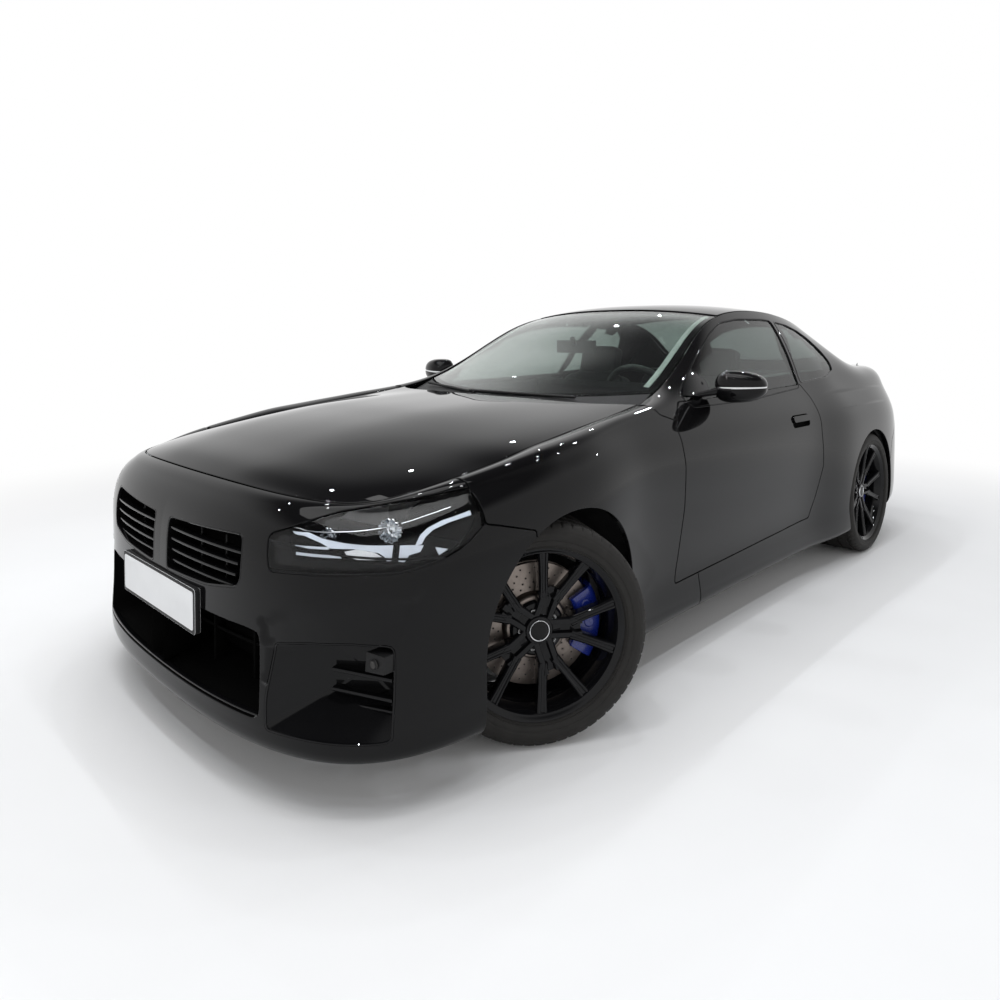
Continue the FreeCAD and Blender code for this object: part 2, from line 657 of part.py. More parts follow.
row_gap_share = .0004
glass_walls = (glass_inset, glass_wall)
windscreen = roof_piece(glass_walls, .004, header_share - row_gap_share)
roof = roof_piece((0, size("roof_wall")), header_share, rear_header_share)
rear_window = roof_piece(glass_walls, rear_header_share + row_gap_share, .999)
keep("windscreen", both_halves(windscreen))
keep("roof_panel", both_halves(roof))
keep("rear_windows", Part.makeCompound([both_halves(rear_window), quarter_glass,
                                        mirrored(quarter_glass)]))

# Boot lid: the deck and the upright face between the lamps
deck_lines = deck_grid()
lid_wall = size("lid_wall")
deck = slab(patch(deck_lines, 0, (.006, 1, .014, 1)),
            patch(deck_lines, lid_wall, (.05, 1, .12, 1)))
lid_face = side_slab(lid_wall).common(front_prism(lid_face_shares, lid_face_start_share,
                                                  tail_limit_share, -trim_clearance))
lid_reach = lid_face_shares[-2][0] * half_width - trim_clearance
lid_room = seam_room(along(deck_shares[0][0]) - 2 * lid_wall, -nose).fuse(
    Part.makeBox(lid_reach, rear_overhang, height,
                 Vector(0, along(tail_lamp_start_share), 0)))
swung_room = lid_room.copy()
swung_room.translate(Vector(0, -size("lid_swing"), 0))
lid_room = lid_room.common(swung_room.fuse(
    Part.makeBox(lid_reach - gap, rear_overhang, height,
                 Vector(0, along(tail_lamp_start_share), 0))))
boot_lid = deck.common(lid_room).fuse(lid_face)
boot_lid = max(boot_lid.Solids, key=lambda solid: solid.Volume)
keep("boot_lid", both_halves(boot_lid))

# The lid rests on a buffer on each side panel
buffer_clearance = size("buffer_clearance")
deck_room = slab(patch(deck_lines, -lid_wall, (0, 1, 0, 1)),
                 patch(deck_lines, lid_wall + buffer_clearance, (0, 1, 0, 1)))
lid_buffer = Part.makeBox(
    size("lid_buffer_outer") - size("lid_buffer_inner"), size("lid_buffer_width"),
    size("lid_buffer_height"),
    Vector(size("lid_buffer_inner"), front_axle + size("lid_buffer_setback"),
           size("lid_buffer_level"))).cut(deck_room)
lid_buffer = min(lid_buffer.Solids, key=lambda solid: solid.CenterOfMass.z)
side_panel = side_panel.fuse(lid_buffer.cut(side_slab(gap)))
keep_pair("side_panel", max(side_panel.Solids, key=lambda solid: solid.Volume))

# Cowl panel under the rear edge of the bonnet and the foot of the windscreen
cowl_drop_shares = (.028, .022, .014, .0055)
cowl_lap_share = .2
cowl_front_row = bonnet_lines[-1]
cowl_rear_row = [low + (high - low) * cowl_lap_share
                 for low, high in zip(roof_lines[0], roof_lines[1])]
cowl_grid = []
for step, drop in enumerate(cowl_drop_shares):
    part_way = step / (len(cowl_drop_shares) - 1)
    cowl_grid.append([low + (high - low) * part_way - Vector(0, 0, drop * height)
                      for low, high in zip(cowl_front_row, cowl_rear_row)])
cowl_wall = size("cowl_wall")
cowl_window_shares = (0, 1, .03, 1)
cowl = slab(patch(cowl_grid, 0, cowl_window_shares), patch(cowl_grid, cowl_wall,
                                                           cowl_window_shares))
screen_room = slab(patch(roof_lines, -glass_inset, (0, header_share, 0, 1)),
                   patch(roof_lines, glass_inset + glass_wall + seat_clearance,
                         (0, header_share, 0, 1)))
cowl = cowl.cut(screen_room).cut(seat_skin)
keep("cowl_panel", both_halves(max(cowl.Solids, key=lambda solid: solid.Volume)))


# Plain solids bound to the sheet

def primitive(kind, name, rules, place=Vector(0, 0, 0), turn=Rotation(0, 0, 0)):
    item = document.addObject("Part::" + kind, name)
    for field, rule in rules.items():
        item.setExpression(field, rule)
    item.Placement = Placement(place, turn)
    return item


def box_between(low, high):
    return Part.makeBox(high[0] - low[0], high[1] - low[1], high[2] - low[2], Vector(*low))


def bar(start, end, radius):
    run = end - start
    return Part.makeCylinder(radius, run.Length, start, run)


def side_extrusion(points, half_span):
    # closed outline in the lengthwise plane, drawn out evenly to both sides
    corners = [Vector(-half_span, place, level) for place, level in points]
    return Part.Face(Part.makePolygon(corners + corners[:1])).extrude(
        Vector(2 * half_span, 0, 0))


def fused(shapes):
    result = shapes[0]
    for shape in shapes[1:]:
        result = result.fuse(shape)
    return result.removeSplitter()


# Floor, tunnel, firewall, sills, rails and rear floor
floor = size("floor_height")
floor_wall = size("floor_wall")
floor_top = floor + floor_wall
firewall = front_axle + size("firewall_setback")
seat_step = front_axle + size("seat_step_setback")
bulkhead = front_axle + size("bulkhead_setback")
sill_half = size("sill_inner_half")
sill_lap_share = .9
sill_end_share = 1.86
sill_top = floor + size("sill_height")
tunnel_half = size("tunnel_width") / 2
tunnel_top = floor + size("tunnel_height")
rear_floor = size("rear_floor_height")
rear_floor_half = size("rear_floor_half")
boot_end = along(2.84)
shelf_end = along(2.40)
rail_inner = size("rail_offset")
rail_outer = rail_inner + size("rail_width")
rail_level = size("rail_level")
rail_top = rail_level + size("rail_height")
front_panel = nose + size("front_panel_setback")
firewall_top = size("firewall_height")
firewall_rear = firewall + floor_wall + seat_clearance
step_front = seat_step - floor_wall - seat_clearance
pad_middle = size("pad_middle")
pad_half = size("pad_half")
shelf = size("shelf_height")

floor_pan = [
    box_between((-sill_half, firewall_rear, floor), (sill_half, step_front, floor_top)),
    box_between((-tunnel_half, firewall_rear, floor), (tunnel_half, step_front, tunnel_top)),
]
firewall_parts = [
    box_between((-sill_half, firewall, floor), (sill_half, firewall + floor_wall,
                                                firewall_top)),
]
front_frame = [
    box_between((-rail_outer, front_panel, size("radiator_low")),
                (rail_outer, front_panel + size("radiator_wall"), size("radiator_high"))),
]
rear_floor_parts = [
    box_between((-rear_floor_half, seat_step - floor_wall, floor),
                (rear_floor_half, seat_step, rear_floor + floor_wall)),
    box_between((-rear_floor_half, seat_step - floor_wall, rear_floor),
                (rear_floor_half, boot_end, rear_floor + floor_wall)),
    box_between((-rear_floor_half, bulkhead, rear_floor),
                (rear_floor_half, bulkhead + floor_wall, shelf)),
    box_between((-rear_floor_half, bulkhead, shelf - floor_wall),
                (rear_floor_half, shelf_end, shelf)),
]
for side in (-1, 1):
    sill_edges = sorted((side * sill_half * sill_lap_share, side * half_width))
    floor_pan.append(box_between((sill_edges[0], firewall_rear, floor),
                                 (sill_edges[1], along(sill_end_share), sill_top)))
    pad_edges = sorted((side * (pad_middle - pad_half), side * (pad_middle + pad_half)))
    for pad_place in (-size("pad_setback"), size("pad_setback")):
        floor_pan.append(box_between((pad_edges[0], pad_place - pad_half, size("pad_level")),
                                     (pad_edges[1], pad_place + pad_half, floor_top)))
    rail_edges = sorted((side * rail_inner, side * rail_outer))
    front_frame.append(box_between((rail_edges[0], front_panel, rail_level),
                                   (rail_edges[1], firewall - seat_clearance, rail_top)))
    post_edges = sorted((side * size("hinge_post_inner"), side * size("hinge_post_outer")))
    firewall_parts.append(box_between((post_edges[0], firewall, sill_top + seat_clearance),
                                      (post_edges[1], post_rear, firewall_top)))
bonnet_room = slab(patch(bonnet_lines, -size("bonnet_wall"), (0, 1, 0, 1)),
                   patch(bonnet_lines, size("bonnet_wall") + buffer_clearance, (0, 1, 0, 1)))
buffer = Part.makeCylinder(
    size("buffer_radius"), height / 2,
    Vector(size("bonnet_buffer_half"), front_panel + size("radiator_wall") / 2,
           size("radiator_low"))).cut(bonnet_room)
buffer = min(buffer.Solids, key=lambda solid: solid.CenterOfMass.z)
front_frame_solid = fused(front_frame + [buffer, mirrored(buffer)])


def keep_inside(label, parts):
    # fused, cut back behind both body sides, and kept as its largest solid
    solid = fused(parts).cut(seat_skin).cut(mirrored(seat_skin))
    solid = max(solid.Solids, key=lambda piece: piece.Volume)
    keep(label, solid)
    return solid


floor_pan_solid = keep_inside("floor_pan", floor_pan)
firewall_solid = fused(firewall_parts).cut(seat_skin).cut(mirrored(seat_skin))
hinge = fused(hinge_parts)
firewall_solid = fused([firewall_solid, hinge, mirrored(hinge)])
firewall_solid = max(firewall_solid.Solids, key=lambda piece: piece.Volume)
keep("firewall", firewall_solid)
keep("front_frame", front_frame_solid)
keep_inside("rear_floor", rear_floor_parts)

# Engine block behind the radiator
block = primitive("Box", "engine_block",
                  {"Length": "sizes.engine_width", "Width": "sizes.engine_length",
                   "Height": "sizes.engine_height"},
                  Vector(-size("engine_width") / 2, firewall - size("engine_length")
                         - seat_clearance, size("engine_floor")))
nodes["engine_block"] = block

# Front suspension, fixed: subframe, steering rack, lower arms and struts
kingpin = size("kingpin_half_track")
axle_height = size("front_arch_height")
arm_level = axle_height - size("arm_drop")
subframe_half = rail_outer
subframe_wall = size("subframe_wall")
strut_half = size("strut_offset")
strut_radius = size("strut_radius")
rod_share = .45
arm_pivot_share = .9
ball_radius = size("ball_joint_radius")
subframe_low = arm_level - subframe_wall / 2
front_suspension = [
    box_between((-subframe_half, front_axle - subframe_wall * 2, subframe_low),
                (subframe_half, front_axle + subframe_wall * 2, subframe_low + subframe_wall)),
]
for side in (-1, 1):
    pivot = Vector(side * subframe_half * arm_pivot_share, front_axle, arm_level)
    ball = Vector(side * kingpin, front_axle, arm_level)
    strut_foot = Vector(side * strut_half, front_axle, arm_level)
    strut_head = Vector(side * strut_half, front_axle, size("strut_top"))
    front_suspension += [
        bar(pivot, ball, size("arm_radius")),
        bar(ball, ball + Vector(0, 0, size("ball_joint_height")), ball_radius),
        bar(strut_foot, strut_head, strut_radius * rod_share),
        bar(strut_foot + Vector(0, 0, size("spring_lift")), strut_head, strut_radius)]
    post_edges = sorted((side * rail_inner, side * rail_outer))
    front_suspension.append(box_between(
        (post_edges[0], front_axle - subframe_wall / 2, subframe_low),
        (post_edges[1], front_axle + subframe_wall / 2, rail_level - seat_clearance)))
    tower_edges = sorted((side * rail_inner, side * (strut_half + strut_radius)))
    front_suspension.append(box_between(
        (tower_edges[0], front_axle - subframe_wall, size("strut_top")),
        (tower_edges[1], front_axle + subframe_wall, size("strut_top") + floor_wall)))
    front_suspension.append(box_between(
        (post_edges[0], front_axle - subframe_wall / 2, rail_top + seat_clearance),
        (post_edges[1], front_axle + subframe_wall / 2, size("strut_top"))))
front_suspension_solid = fused(front_suspension)
keep("front_suspension", front_suspension_solid)

# Rear suspension, fixed: differential, half shafts, hub carriers, lower arms and struts
rear_height = size("rear_tyre_radius")
rear_center = half_width - size("tyre_inset") - size("rear_tyre_width") / 2
carrier_radius = size("carrier_radius")
bracket_wall = size("caliper_wall")
rear_parts = [box_between((-size("differential_half"), rear_axle - size("differential_half"),
                           rear_height - size("differential_half")),
                          (size("differential_half"), rear_axle + size("differential_half"),
                           rear_floor - seat_clearance))]
carrier_inner = rear_center - size("carrier_reach")
for side in (-1, 1):
    hub = Vector(side * carrier_inner, rear_axle, rear_height)
    face = Vector(side * (rear_center + size("carrier_end")), rear_axle, rear_height)
    rear_parts += [
        bar(Vector(0, rear_axle, rear_height), hub, size("half_shaft_radius")),
        bar(hub, face, carrier_radius),
        bar(hub, Vector(side * (rear_center + size("spindle_end")), rear_axle, rear_height),
            size("spindle_radius")),
        bar(Vector(0, rear_axle, arm_level), Vector(side * carrier_inner, rear_axle, arm_level),
            size("arm_radius")),
        bar(Vector(side * carrier_inner, rear_axle, arm_level),
            Vector(side * carrier_inner, rear_axle, rear_height), size("arm_radius"))]
    bracket_start = rear_center + size("disc_offset") - size("disc_wall") - size("running_gap")
    bracket_edges = sorted((side * bracket_start, side * (bracket_start - bracket_wall)))
    rear_parts.append(box_between(
        (bracket_edges[0], rear_axle, rear_height - bracket_wall),
        (bracket_edges[1], rear_axle + size("rear_disc_radius") - size("caliper_reach")
         + bracket_wall, rear_height + bracket_wall)))
rear_parts.append(box_between((-size("differential_half"), rear_axle - subframe_wall / 2,
                               arm_level - subframe_wall / 2),
                              (size("differential_half"), rear_axle + subframe_wall / 2,
                               rear_height)))
rear_suspension = fused(rear_parts)
keep("rear_suspension", rear_suspension)


# Wheels. Each is built with its axis along X, its outer face toward +X and the middle of
# the tyre at the origin, then set in its place.

def ring(points):
    # closed outline of (reach along the axle, radius) turned about the axle
    corners = [Vector(reach, 0, radius) for reach, radius in points]
    face = Part.Face(Part.makePolygon(corners + corners[:1]))
    return face.revolve(Vector(0, 0, 0), Vector(1, 0, 0), 360)


tyre_profile_shares = (
    (-.94, 0), (-.985, .18), (-1, .42), (-.97, .70), (-.90, .88), (-.78, .965), (-.5, .993),
    (0, 1), (.5, .993), (.78, .965), (.90, .88), (.97, .70), (1, .42), (.985, .18), (.94, 0))


def tyre(radius, width, rim_radius):
    wall = radius - rim_radius
    outline = [(reach * width / 2, rim_radius + seat_clearance
                + (wall - seat_clearance) * rise)
               for reach, rise in tyre_profile_shares]
    return ring(outline)


dish_share = .35
spoke_edge_share = .7
caliper_face_share = .7


def rim(radius, width):
    half = width / 2 - size("tyre_side_gap")
    wall = size("rim_wall")
    lip = size("rim_lip")
    seat_radius = radius - wall
    well = radius - size("rim_well")
    barrel = ring([(-half, radius), (-half + lip, radius), (-half + lip * 2, well),
                   (half - lip * 3, well), (half - lip, seat_radius), (half - lip, radius),
                   (half, radius), (half, seat_radius), (half - lip, well),
                   (half - lip * 3, well - wall), (-half + lip * 2, well - wall),
                   (-half, seat_radius)])
    hub_radius = size("hub_radius")
    hub_face = size("hub_face")
    depth = size("spoke_depth")
    middle_face = hub_face + size("spoke_dish") * dish_share
    outer_face = half - lip
    band = ring([(hub_face, 0), (hub_face, hub_radius),
                 (middle_face, (hub_radius + well) / 2), (outer_face, well - wall / 2),
                 (outer_face - depth * spoke_edge_share, well - wall / 2),
                 (middle_face - depth, (hub_radius + well) / 2),
                 (hub_face - depth, hub_radius), (hub_face - depth, 0)])
    arms = [Part.makeCylinder(hub_radius, half, Vector(0, 0, 0), Vector(1, 0, 0))]
    reach = size("spoke_trunk_reach")
    trunk = size("spoke_trunk_width") / 2
    arm = size("spoke_arm_width") / 2
    spread = radius * math.sin(math.radians(size("spoke_spread")))
    rise = radius * math.cos(math.radians(size("spoke_spread")))
    for number in range(int(size("spoke_count"))):
        turn = 360 / size("spoke_count") * number
        for side in (-1, 1):
            corners = [Vector(0, 0, 0), Vector(0, side * trunk, 0), Vector(0, side * trunk, reach),
                       Vector(0, side * (spread + arm), rise),
                       Vector(0, side * (spread - arm), rise),
                       Vector(0, 0, reach + arm)]
            piece = Part.Face(Part.makePolygon(corners + corners[:1]))
            piece = piece.extrude(Vector(half, 0, 0))
            piece.rotate(Vector(0, 0, 0), Vector(1, 0, 0), turn)
            arms.append(piece)
    star = arms[0].multiFuse(arms[1:])
    return barrel.fuse(band.common(star)).removeSplitter()


def disc(radius):
    offset = size("disc_offset")
    wall = size("disc_wall")
    bell = size("disc_bell_radius")
    mount = size("hub_face") - size("spoke_depth") - seat_clearance
    web = size("rim_wall")
    return ring([(offset, radius), (offset - wall, radius), (offset - wall, bell - web),
                 (mount - web, bell - web), (mount - web, 0), (mount, 0), (mount, bell),
                 (offset, bell)])


def caliper(radius, height_limit):
    # wraps the rear edge of the disc with a running gap
    offset = size("disc_offset")
    wall = size("disc_wall")
    space = size("running_gap")
    side_wall = size("caliper_wall")
    span = size("caliper_span")
    inner = radius - size("caliper_reach")
    face = offset + space + side_wall * caliper_face_share
    body = ring([(offset - wall - space - side_wall, inner),
                 (offset - wall - space - side_wall, height_limit),
                 (face, height_limit), (face, inner), (offset + space, inner),
                 (offset + space, radius + space), (offset - wall - space, radius + space),
                 (offset - wall - space, inner)])
    wedge_reach = radius * 2
    edge = wedge_reach * math.sin(math.radians(span))
    far = wedge_reach * math.cos(math.radians(span))
    corners = [Vector(-half_width, 0, 0), Vector(-half_width, far, edge),
               Vector(-half_width, far, -edge)]
    wedge = Part.Face(Part.makePolygon(corners + corners[:1]))
    return body.common(wedge.extrude(Vector(2 * half_width, 0, 0)))


def knuckle():
    # hub carrier with its spindle, ball joint eyes above and below, and the caliper bracket
    carrier_start = -size("knuckle_reach")
    mount = size("hub_face") - size("spoke_depth") - size("rim_wall") - 2 * seat_clearance
    carrier_end = size("disc_offset") - size("disc_wall") - size("running_gap")
    pin = kingpin - front_center
    eye_low = arm_level - axle_height + size("ball_joint_height") + seat_clearance
    pieces = [bar(Vector(carrier_start, 0, 0), Vector(carrier_end, 0, 0), carrier_radius),
              bar(Vector(carrier_end, 0, 0), Vector(mount, 0, 0), size("spindle_radius")),
              bar(Vector(pin, 0, eye_low), Vector(pin, 0, 0), size("eye_radius"))]
    bracket_end = size("front_disc_radius") - size("caliper_reach") + bracket_wall
    pieces.append(box_between((carrier_end - bracket_wall, 0, -bracket_wall),
                              (carrier_end, bracket_end, bracket_wall)))
    return fused(pieces)


front_center = half_width - size("tyre_inset") - size("front_tyre_width") / 2
rest_turn = Rotation(Vector(0, 0, 1), -size("steering_rest_angle"))
half_turn = Rotation(Vector(0, 0, 1), 180)


def wheel_placement(side, front):
    # side is 1 on the left and -1 on the right
    facing = Rotation() if side > 0 else half_turn
    if not front:
        return Placement(Vector(side * rear_center, rear_axle, rear_height), facing)
    pin = Vector(side * kingpin, front_axle, 0)
    reach = Vector(side * (front_center - kingpin), 0, axle_height)
    return Placement(pin + rest_turn.multVec(reach), rest_turn.multiply(facing))


def keep_placed(label, shape, placement):
    item = keep(label, shape)
    item.Placement = placement


front_solids = {
    "tyre": tyre(size("front_tyre_radius"), size("front_tyre_width"), size("front_rim_radius")),
    "rim": rim(size("front_rim_radius"), size("front_tyre_width")),
    "disc": disc(size("front_disc_radius"))}
rear_solids = {
    "tyre": tyre(size("rear_tyre_radius"), size("rear_tyre_width"), size("rear_rim_radius")),
    "rim": rim(size("rear_rim_radius"), size("rear_tyre_width")),
    "disc": disc(size("rear_disc_radius"))}
for corner, side, front in (("fl", 1, True), ("fr", -1, True), ("rl", 1, False),
                            ("rr", -1, False)):
    for name, shape in (front_solids if front else rear_solids).items():
        keep_placed(name + "_" + corner, shape, wheel_placement(side, front))

front_knuckle = knuckle()
front_caliper = caliper(size("front_disc_radius"), size("front_rim_radius")
                        - size("rim_well") - size("rim_wall") - size("running_gap"))
front_caliper = front_caliper.cut(front_knuckle)
for name, side in (("left", 1), ("right", -1)):
    # the caliper stays behind the axle on both sides
    placement = wheel_placement(side, True)
    keep_placed("knuckle_" + name, mirrored(front_knuckle) if side < 0 else front_knuckle,
                Placement(placement.Base, rest_turn))
    keep_placed("front_caliper_" + name,
                mirrored(front_caliper) if side < 0 else front_caliper,
                Placement(placement.Base, rest_turn))
rear_caliper = caliper(size("rear_disc_radius"), size("rear_rim_radius")
                       - size("rim_well") - size("rim_wall") - size("running_gap"))
rear_caliper.translate(Vector(rear_center, rear_axle, rear_height))
rear_caliper = rear_caliper.cut(rear_suspension)
keep("rear_calipers", Part.makeCompound([rear_caliper, mirrored(rear_caliper)]))


# Arch liners: arched walls over each wheel
liner_wall = size("liner_wall")


def liner(center, level, radius, inner, outer_half):
    start = Vector(inner, center, level)
    outer = Part.makeCylinder(radius + liner_wall, outer_half - inner, start, Vector(1, 0, 0))
    hole = Part.makeCylinder(radius, outer_half - inner, start, Vector(1, 0, 0))
    above = Part.makeBox(outer_half - inner, 2 * radius + 2 * liner_wall, 2 * radius,
                         Vector(inner, center - radius - liner_wall, level
                                - size("liner_drop")))
    shell = outer.cut(hole).common(above).cut(seat_skin)
    kept = [solid for solid in shell.Solids
            if solid.CenterOfMass.x < half_width - size("liner_edge_gap")]
    return max(kept, key=lambda solid: solid.Volume)


front_liner = liner(front_axle, axle_height, size("front_liner_radius"),
                    size("liner_inner_half"), half_width)
for cutter in (front_frame_solid, firewall_solid, floor_pan_solid, front_suspension_solid):
    front_liner = front_liner.cut(cutter)
rear_liner = liner(rear_axle, rear_height, size("rear_liner_radius"),
                   size("rear_liner_inner_half"), half_width)
keep("arch_liners", Part.makeCompound([front_liner, mirrored(front_liner), rear_liner,
                                       mirrored(rear_liner)]))


# Grilles: slats and a frame that fill each opening of the front bumper
grille_skin = side_slab(size("grille_depth_end"), size("grille_depth_start"))


def grille(shares, slat_count):
    face = front_wire(shares, -seat_clearance)
    region = face.copy()
    region.translate(Vector(0, nose * 2, 0))
    panel = grille_skin.common(region.extrude(Vector(0, front_axle - nose * 2, 0)))
    inner = front_wire(shares, -size("grille_frame"))
    box = inner.BoundBox
    slat = size("slat_height")
    pitch = (box.ZLength + slat) / (slat_count + 1)
    for number in range(slat_count + 1):
        level = box.ZMin + pitch * number
        band = Part.makeBox(half_width * 2, -nose * 2, pitch - slat,
                            Vector(-half_width, nose * 2, level))
        window = inner.copy()
        window.translate(Vector(0, nose * 2, 0))
        panel = panel.cut(window.extrude(Vector(0, -nose * 2, 0)).common(band))
    return panel


kidney = grille(grille_shares, int(size("kidney_slats")))
intake = grille(outer_intake_shares, int(size("intake_slats")))
lower = both_halves(grille(lower_intake_shares, int(size("lower_slats"))))
keep("front_grilles", Part.makeCompound([kidney, mirrored(kidney), intake, mirrored(intake),
                                         lower]))


# Mirrors, each on a foot on the door's shoulder
mirror_neck_share = .3
clearing_walls = 3


def mirror():
    width = size("mirror_reach") - size("mirror_start")
    housing = Part.makeSphere(width / 2)
    stretch = FreeCAD.Matrix()
    stretch.scale(Vector(1, size("mirror_depth") / width, size("mirror_height") / width))
    housing = housing.transformGeometry(stretch)
    housing.rotate(Vector(0, 0, 0), Vector(0, 0, 1), size("mirror_sweep"))
    center = Vector(size("mirror_start") + width / 2, along(size("mirror_place_share")),
                    size("mirror_level"))
    housing.translate(center)
    foot = Vector(size("mirror_foot_half"), center.y - size("mirror_foot_lead"),
                  size("mirror_foot_level"))
    neck = bar(foot, center - Vector(width * mirror_neck_share, 0, 0),
               size("mirror_neck_radius"))
    solid = housing.fuse(neck).cut(outer_body).cut(nodes["door_glass_left"].Shape)
    return max(solid.Solids, key=lambda part: part.Volume)


outer_body = side_slab(size("door_skin_wall") * clearing_walls, -seat_clearance)
keep_pair("mirror", mirror())


# Cabin
def seat(width, profile):
    corners = [Vector(-width / 2, place, level) for place, level in profile]
    solid = Part.Face(Part.makePolygon(corners + corners[:1])).extrude(Vector(width, 0, 0))
    return solid.makeFillet(size("seat_edge_radius"), solid.Edges)


seat_base = floor_top + seat_clearance
seat_front = front_axle + size("seat_setback")
seat_depth = size("seat_depth")
cushion_share = .55
seat_top = seat_base + size("seat_height") * cushion_share
back_wall = size("seat_back_wall")
back_top = seat_top + size("seat_back_height")
lean = size("seat_back_lean")
back_shares = {"foot_rear": .5, "top_rear": .6, "top_front": .2, "foot_front": .7}
head_shares = {"front": .1, "rear": .5, "sunk": .1, "proud": .6}
front_seat = seat(size("seat_width"), [
    (seat_front, seat_base), (seat_front + seat_depth, seat_base),
    (seat_front + seat_depth + back_wall * back_shares["foot_rear"], seat_top),
    (seat_front + seat_depth + lean + back_wall * back_shares["top_rear"], back_top),
    (seat_front + seat_depth + lean - back_wall * back_shares["top_front"], back_top),
    (seat_front + seat_depth - back_wall * back_shares["foot_front"], seat_top),
    (seat_front, seat_top)])
head = size("head_rest_height")
head_front = seat_front + seat_depth + lean - back_wall * head_shares["front"]
head_rear = seat_front + seat_depth + lean + back_wall * head_shares["rear"]
front_seat = front_seat.fuse(box_between(
    (-head / 2, head_front, back_top - head * head_shares["sunk"]),
    (head / 2, head_rear, back_top + head * head_shares["proud"])))
seat_offset = size("seat_offset")
left_seat = front_seat.copy()
left_seat.translate(Vector(seat_offset, 0, 0))
keep("front_seats", Part.makeCompound([left_seat, mirrored(left_seat)]))

bench_top = rear_floor + floor_wall + size("bench_cushion")
bench_front = seat_step + seat_clearance
bench_lean_share = 2.2
bench = seat(size("bench_half") * 2, [
    (bench_front, rear_floor + floor_wall + seat_clearance),
    (bulkhead - seat_clearance, rear_floor + floor_wall + seat_clearance),
    (bulkhead - seat_clearance, bench_top + size("bench_back")),
    (bulkhead - back_wall, bench_top + size("bench_back")),
    (bulkhead - back_wall * bench_lean_share, bench_top), (bench_front, bench_top)])
keep("rear_bench", bench)

dash_rear = front_axle + size("dash_rear_setback")
dash_low = size("dash_low")
dash_high = size("dash_high")
dash_front = firewall + floor_wall + seat_clearance
dash_half = size("dash_half")
dash_shares = {"rear_drop": .8, "crown": .7, "front_drop": .4}
dash_profile = side_extrusion(
    [(dash_front, dash_low), (dash_rear - back_wall, dash_low),
     (dash_rear, dash_low + back_wall),
     (dash_rear, dash_high - back_wall * dash_shares["rear_drop"]),
     (dash_rear - back_wall * dash_shares["crown"], dash_high),
     (dash_front, dash_high - back_wall * dash_shares["front_drop"])],
    dash_half)
keep("dashboard", dash_profile)

wheel_center = Vector(seat_offset, dash_rear + size("wheel_stand"), size("wheel_level"))
column = Vector(0, math.cos(math.radians(size("column_tilt"))),
                math.sin(math.radians(size("column_tilt"))))
hand_wheel = Part.makeTorus(size("steering_wheel_radius"), size("steering_rim_radius"),
                            wheel_center, column)
boss = bar(wheel_center - column * size("column_radius"), wheel_center
           + column * size("steering_rim_radius"), size("boss_radius"))
column_share = 1.3
shaft = bar(wheel_center - column * size("wheel_stand") * column_share, wheel_center,
            size("column_radius"))
spokes = []
level_out = Vector(1, 0, 0)
down = column.cross(level_out)
steering_spoke_share = .8
spoke_radius = size("steering_rim_radius") * steering_spoke_share
for direction in (level_out, -level_out, -down if down.z > 0 else down):
    spokes.append(bar(wheel_center, wheel_center + direction * size("steering_wheel_radius"),
                      spoke_radius))
steering = fused([hand_wheel, boss, shaft] + spokes).cut(dash_profile)
keep("steering_wheel", max(steering.Solids, key=lambda solid: solid.Volume))

cabin_mirror_shares = {"top": .2, "stalk": .5, "body": 4}
mirror_top = Vector(0, along(size("cabin_mirror_share")), size("cabin_mirror_level"))
glass_above = nodes["windscreen"].Shape
mirror_body = box_between(
    (-size("cabin_mirror_width") / 2, mirror_top.y, mirror_top.z - size("cabin_mirror_drop")),
    (size("cabin_mirror_width") / 2, mirror_top.y + liner_wall * cabin_mirror_shares["body"],
     mirror_top.z - size("cabin_mirror_drop") * cabin_mirror_shares["top"]))
stalk = bar(mirror_top - Vector(0, 0, size("cabin_mirror_drop")
                                * cabin_mirror_shares["stalk"]),
            mirror_top + Vector(0, -floor_wall * 2, floor_wall * 2), liner_wall * 2)
inner_mirror = mirror_body.fuse(stalk).cut(glass_above)
keep("interior_mirror", max(inner_mirror.Solids, key=lambda solid: solid.Volume))


# Exhaust: pipe, silencer and four tail pipes
pipe_radius = size("pipe_radius")
tail_pipe_radius = size("tail_pipe_radius")
exhaust_places = {"rise": along(2.30), "silencer_front": along(2.50), "pipe_end": along(2.52),
                  "tail_pipe": along(2.78), "silencer_rear": along(2.80)}
bore_shares = (.3, 1.1)
silencer_low = (-size("silencer_half"), exhaust_places["silencer_front"], floor + floor_wall)
silencer_high = (size("silencer_half"), exhaust_places["silencer_rear"],
                 rear_floor - seat_clearance)
exhaust_level = floor - pipe_radius - seat_clearance
pipe_center = (silencer_low[2] + silencer_high[2]) / 2
exhaust = [box_between(silencer_low, silencer_high),
           bar(Vector(0, firewall, exhaust_level), Vector(0, seat_step, exhaust_level),
               pipe_radius),
           bar(Vector(0, seat_step - pipe_radius, exhaust_level),
               Vector(0, exhaust_places["rise"], exhaust_level), pipe_radius),
           bar(Vector(0, exhaust_places["rise"] - pipe_radius, exhaust_level),
               Vector(0, exhaust_places["pipe_end"], pipe_center), pipe_radius)]
tips = []
for side in (-1, 1):
    for reach in (size("tail_pipe_inner"), size("tail_pipe_outer")):
        start = Vector(side * reach, exhaust_places["tail_pipe"], size("tail_pipe_level"))
        run = Vector(0, size("tail_pipe_length"), 0)
        tips.append(bar(start, start + run, tail_pipe_radius).cut(
            bar(start + run * bore_shares[0], start + run * bore_shares[1],
                tail_pipe_radius - size("tail_pipe_wall"))))
exhaust = fused(exhaust + tips)
keep("exhaust", exhaust)

# Wipers on the cowl
wiper_radius = size("wiper_radius")
far_pivot_share = .2


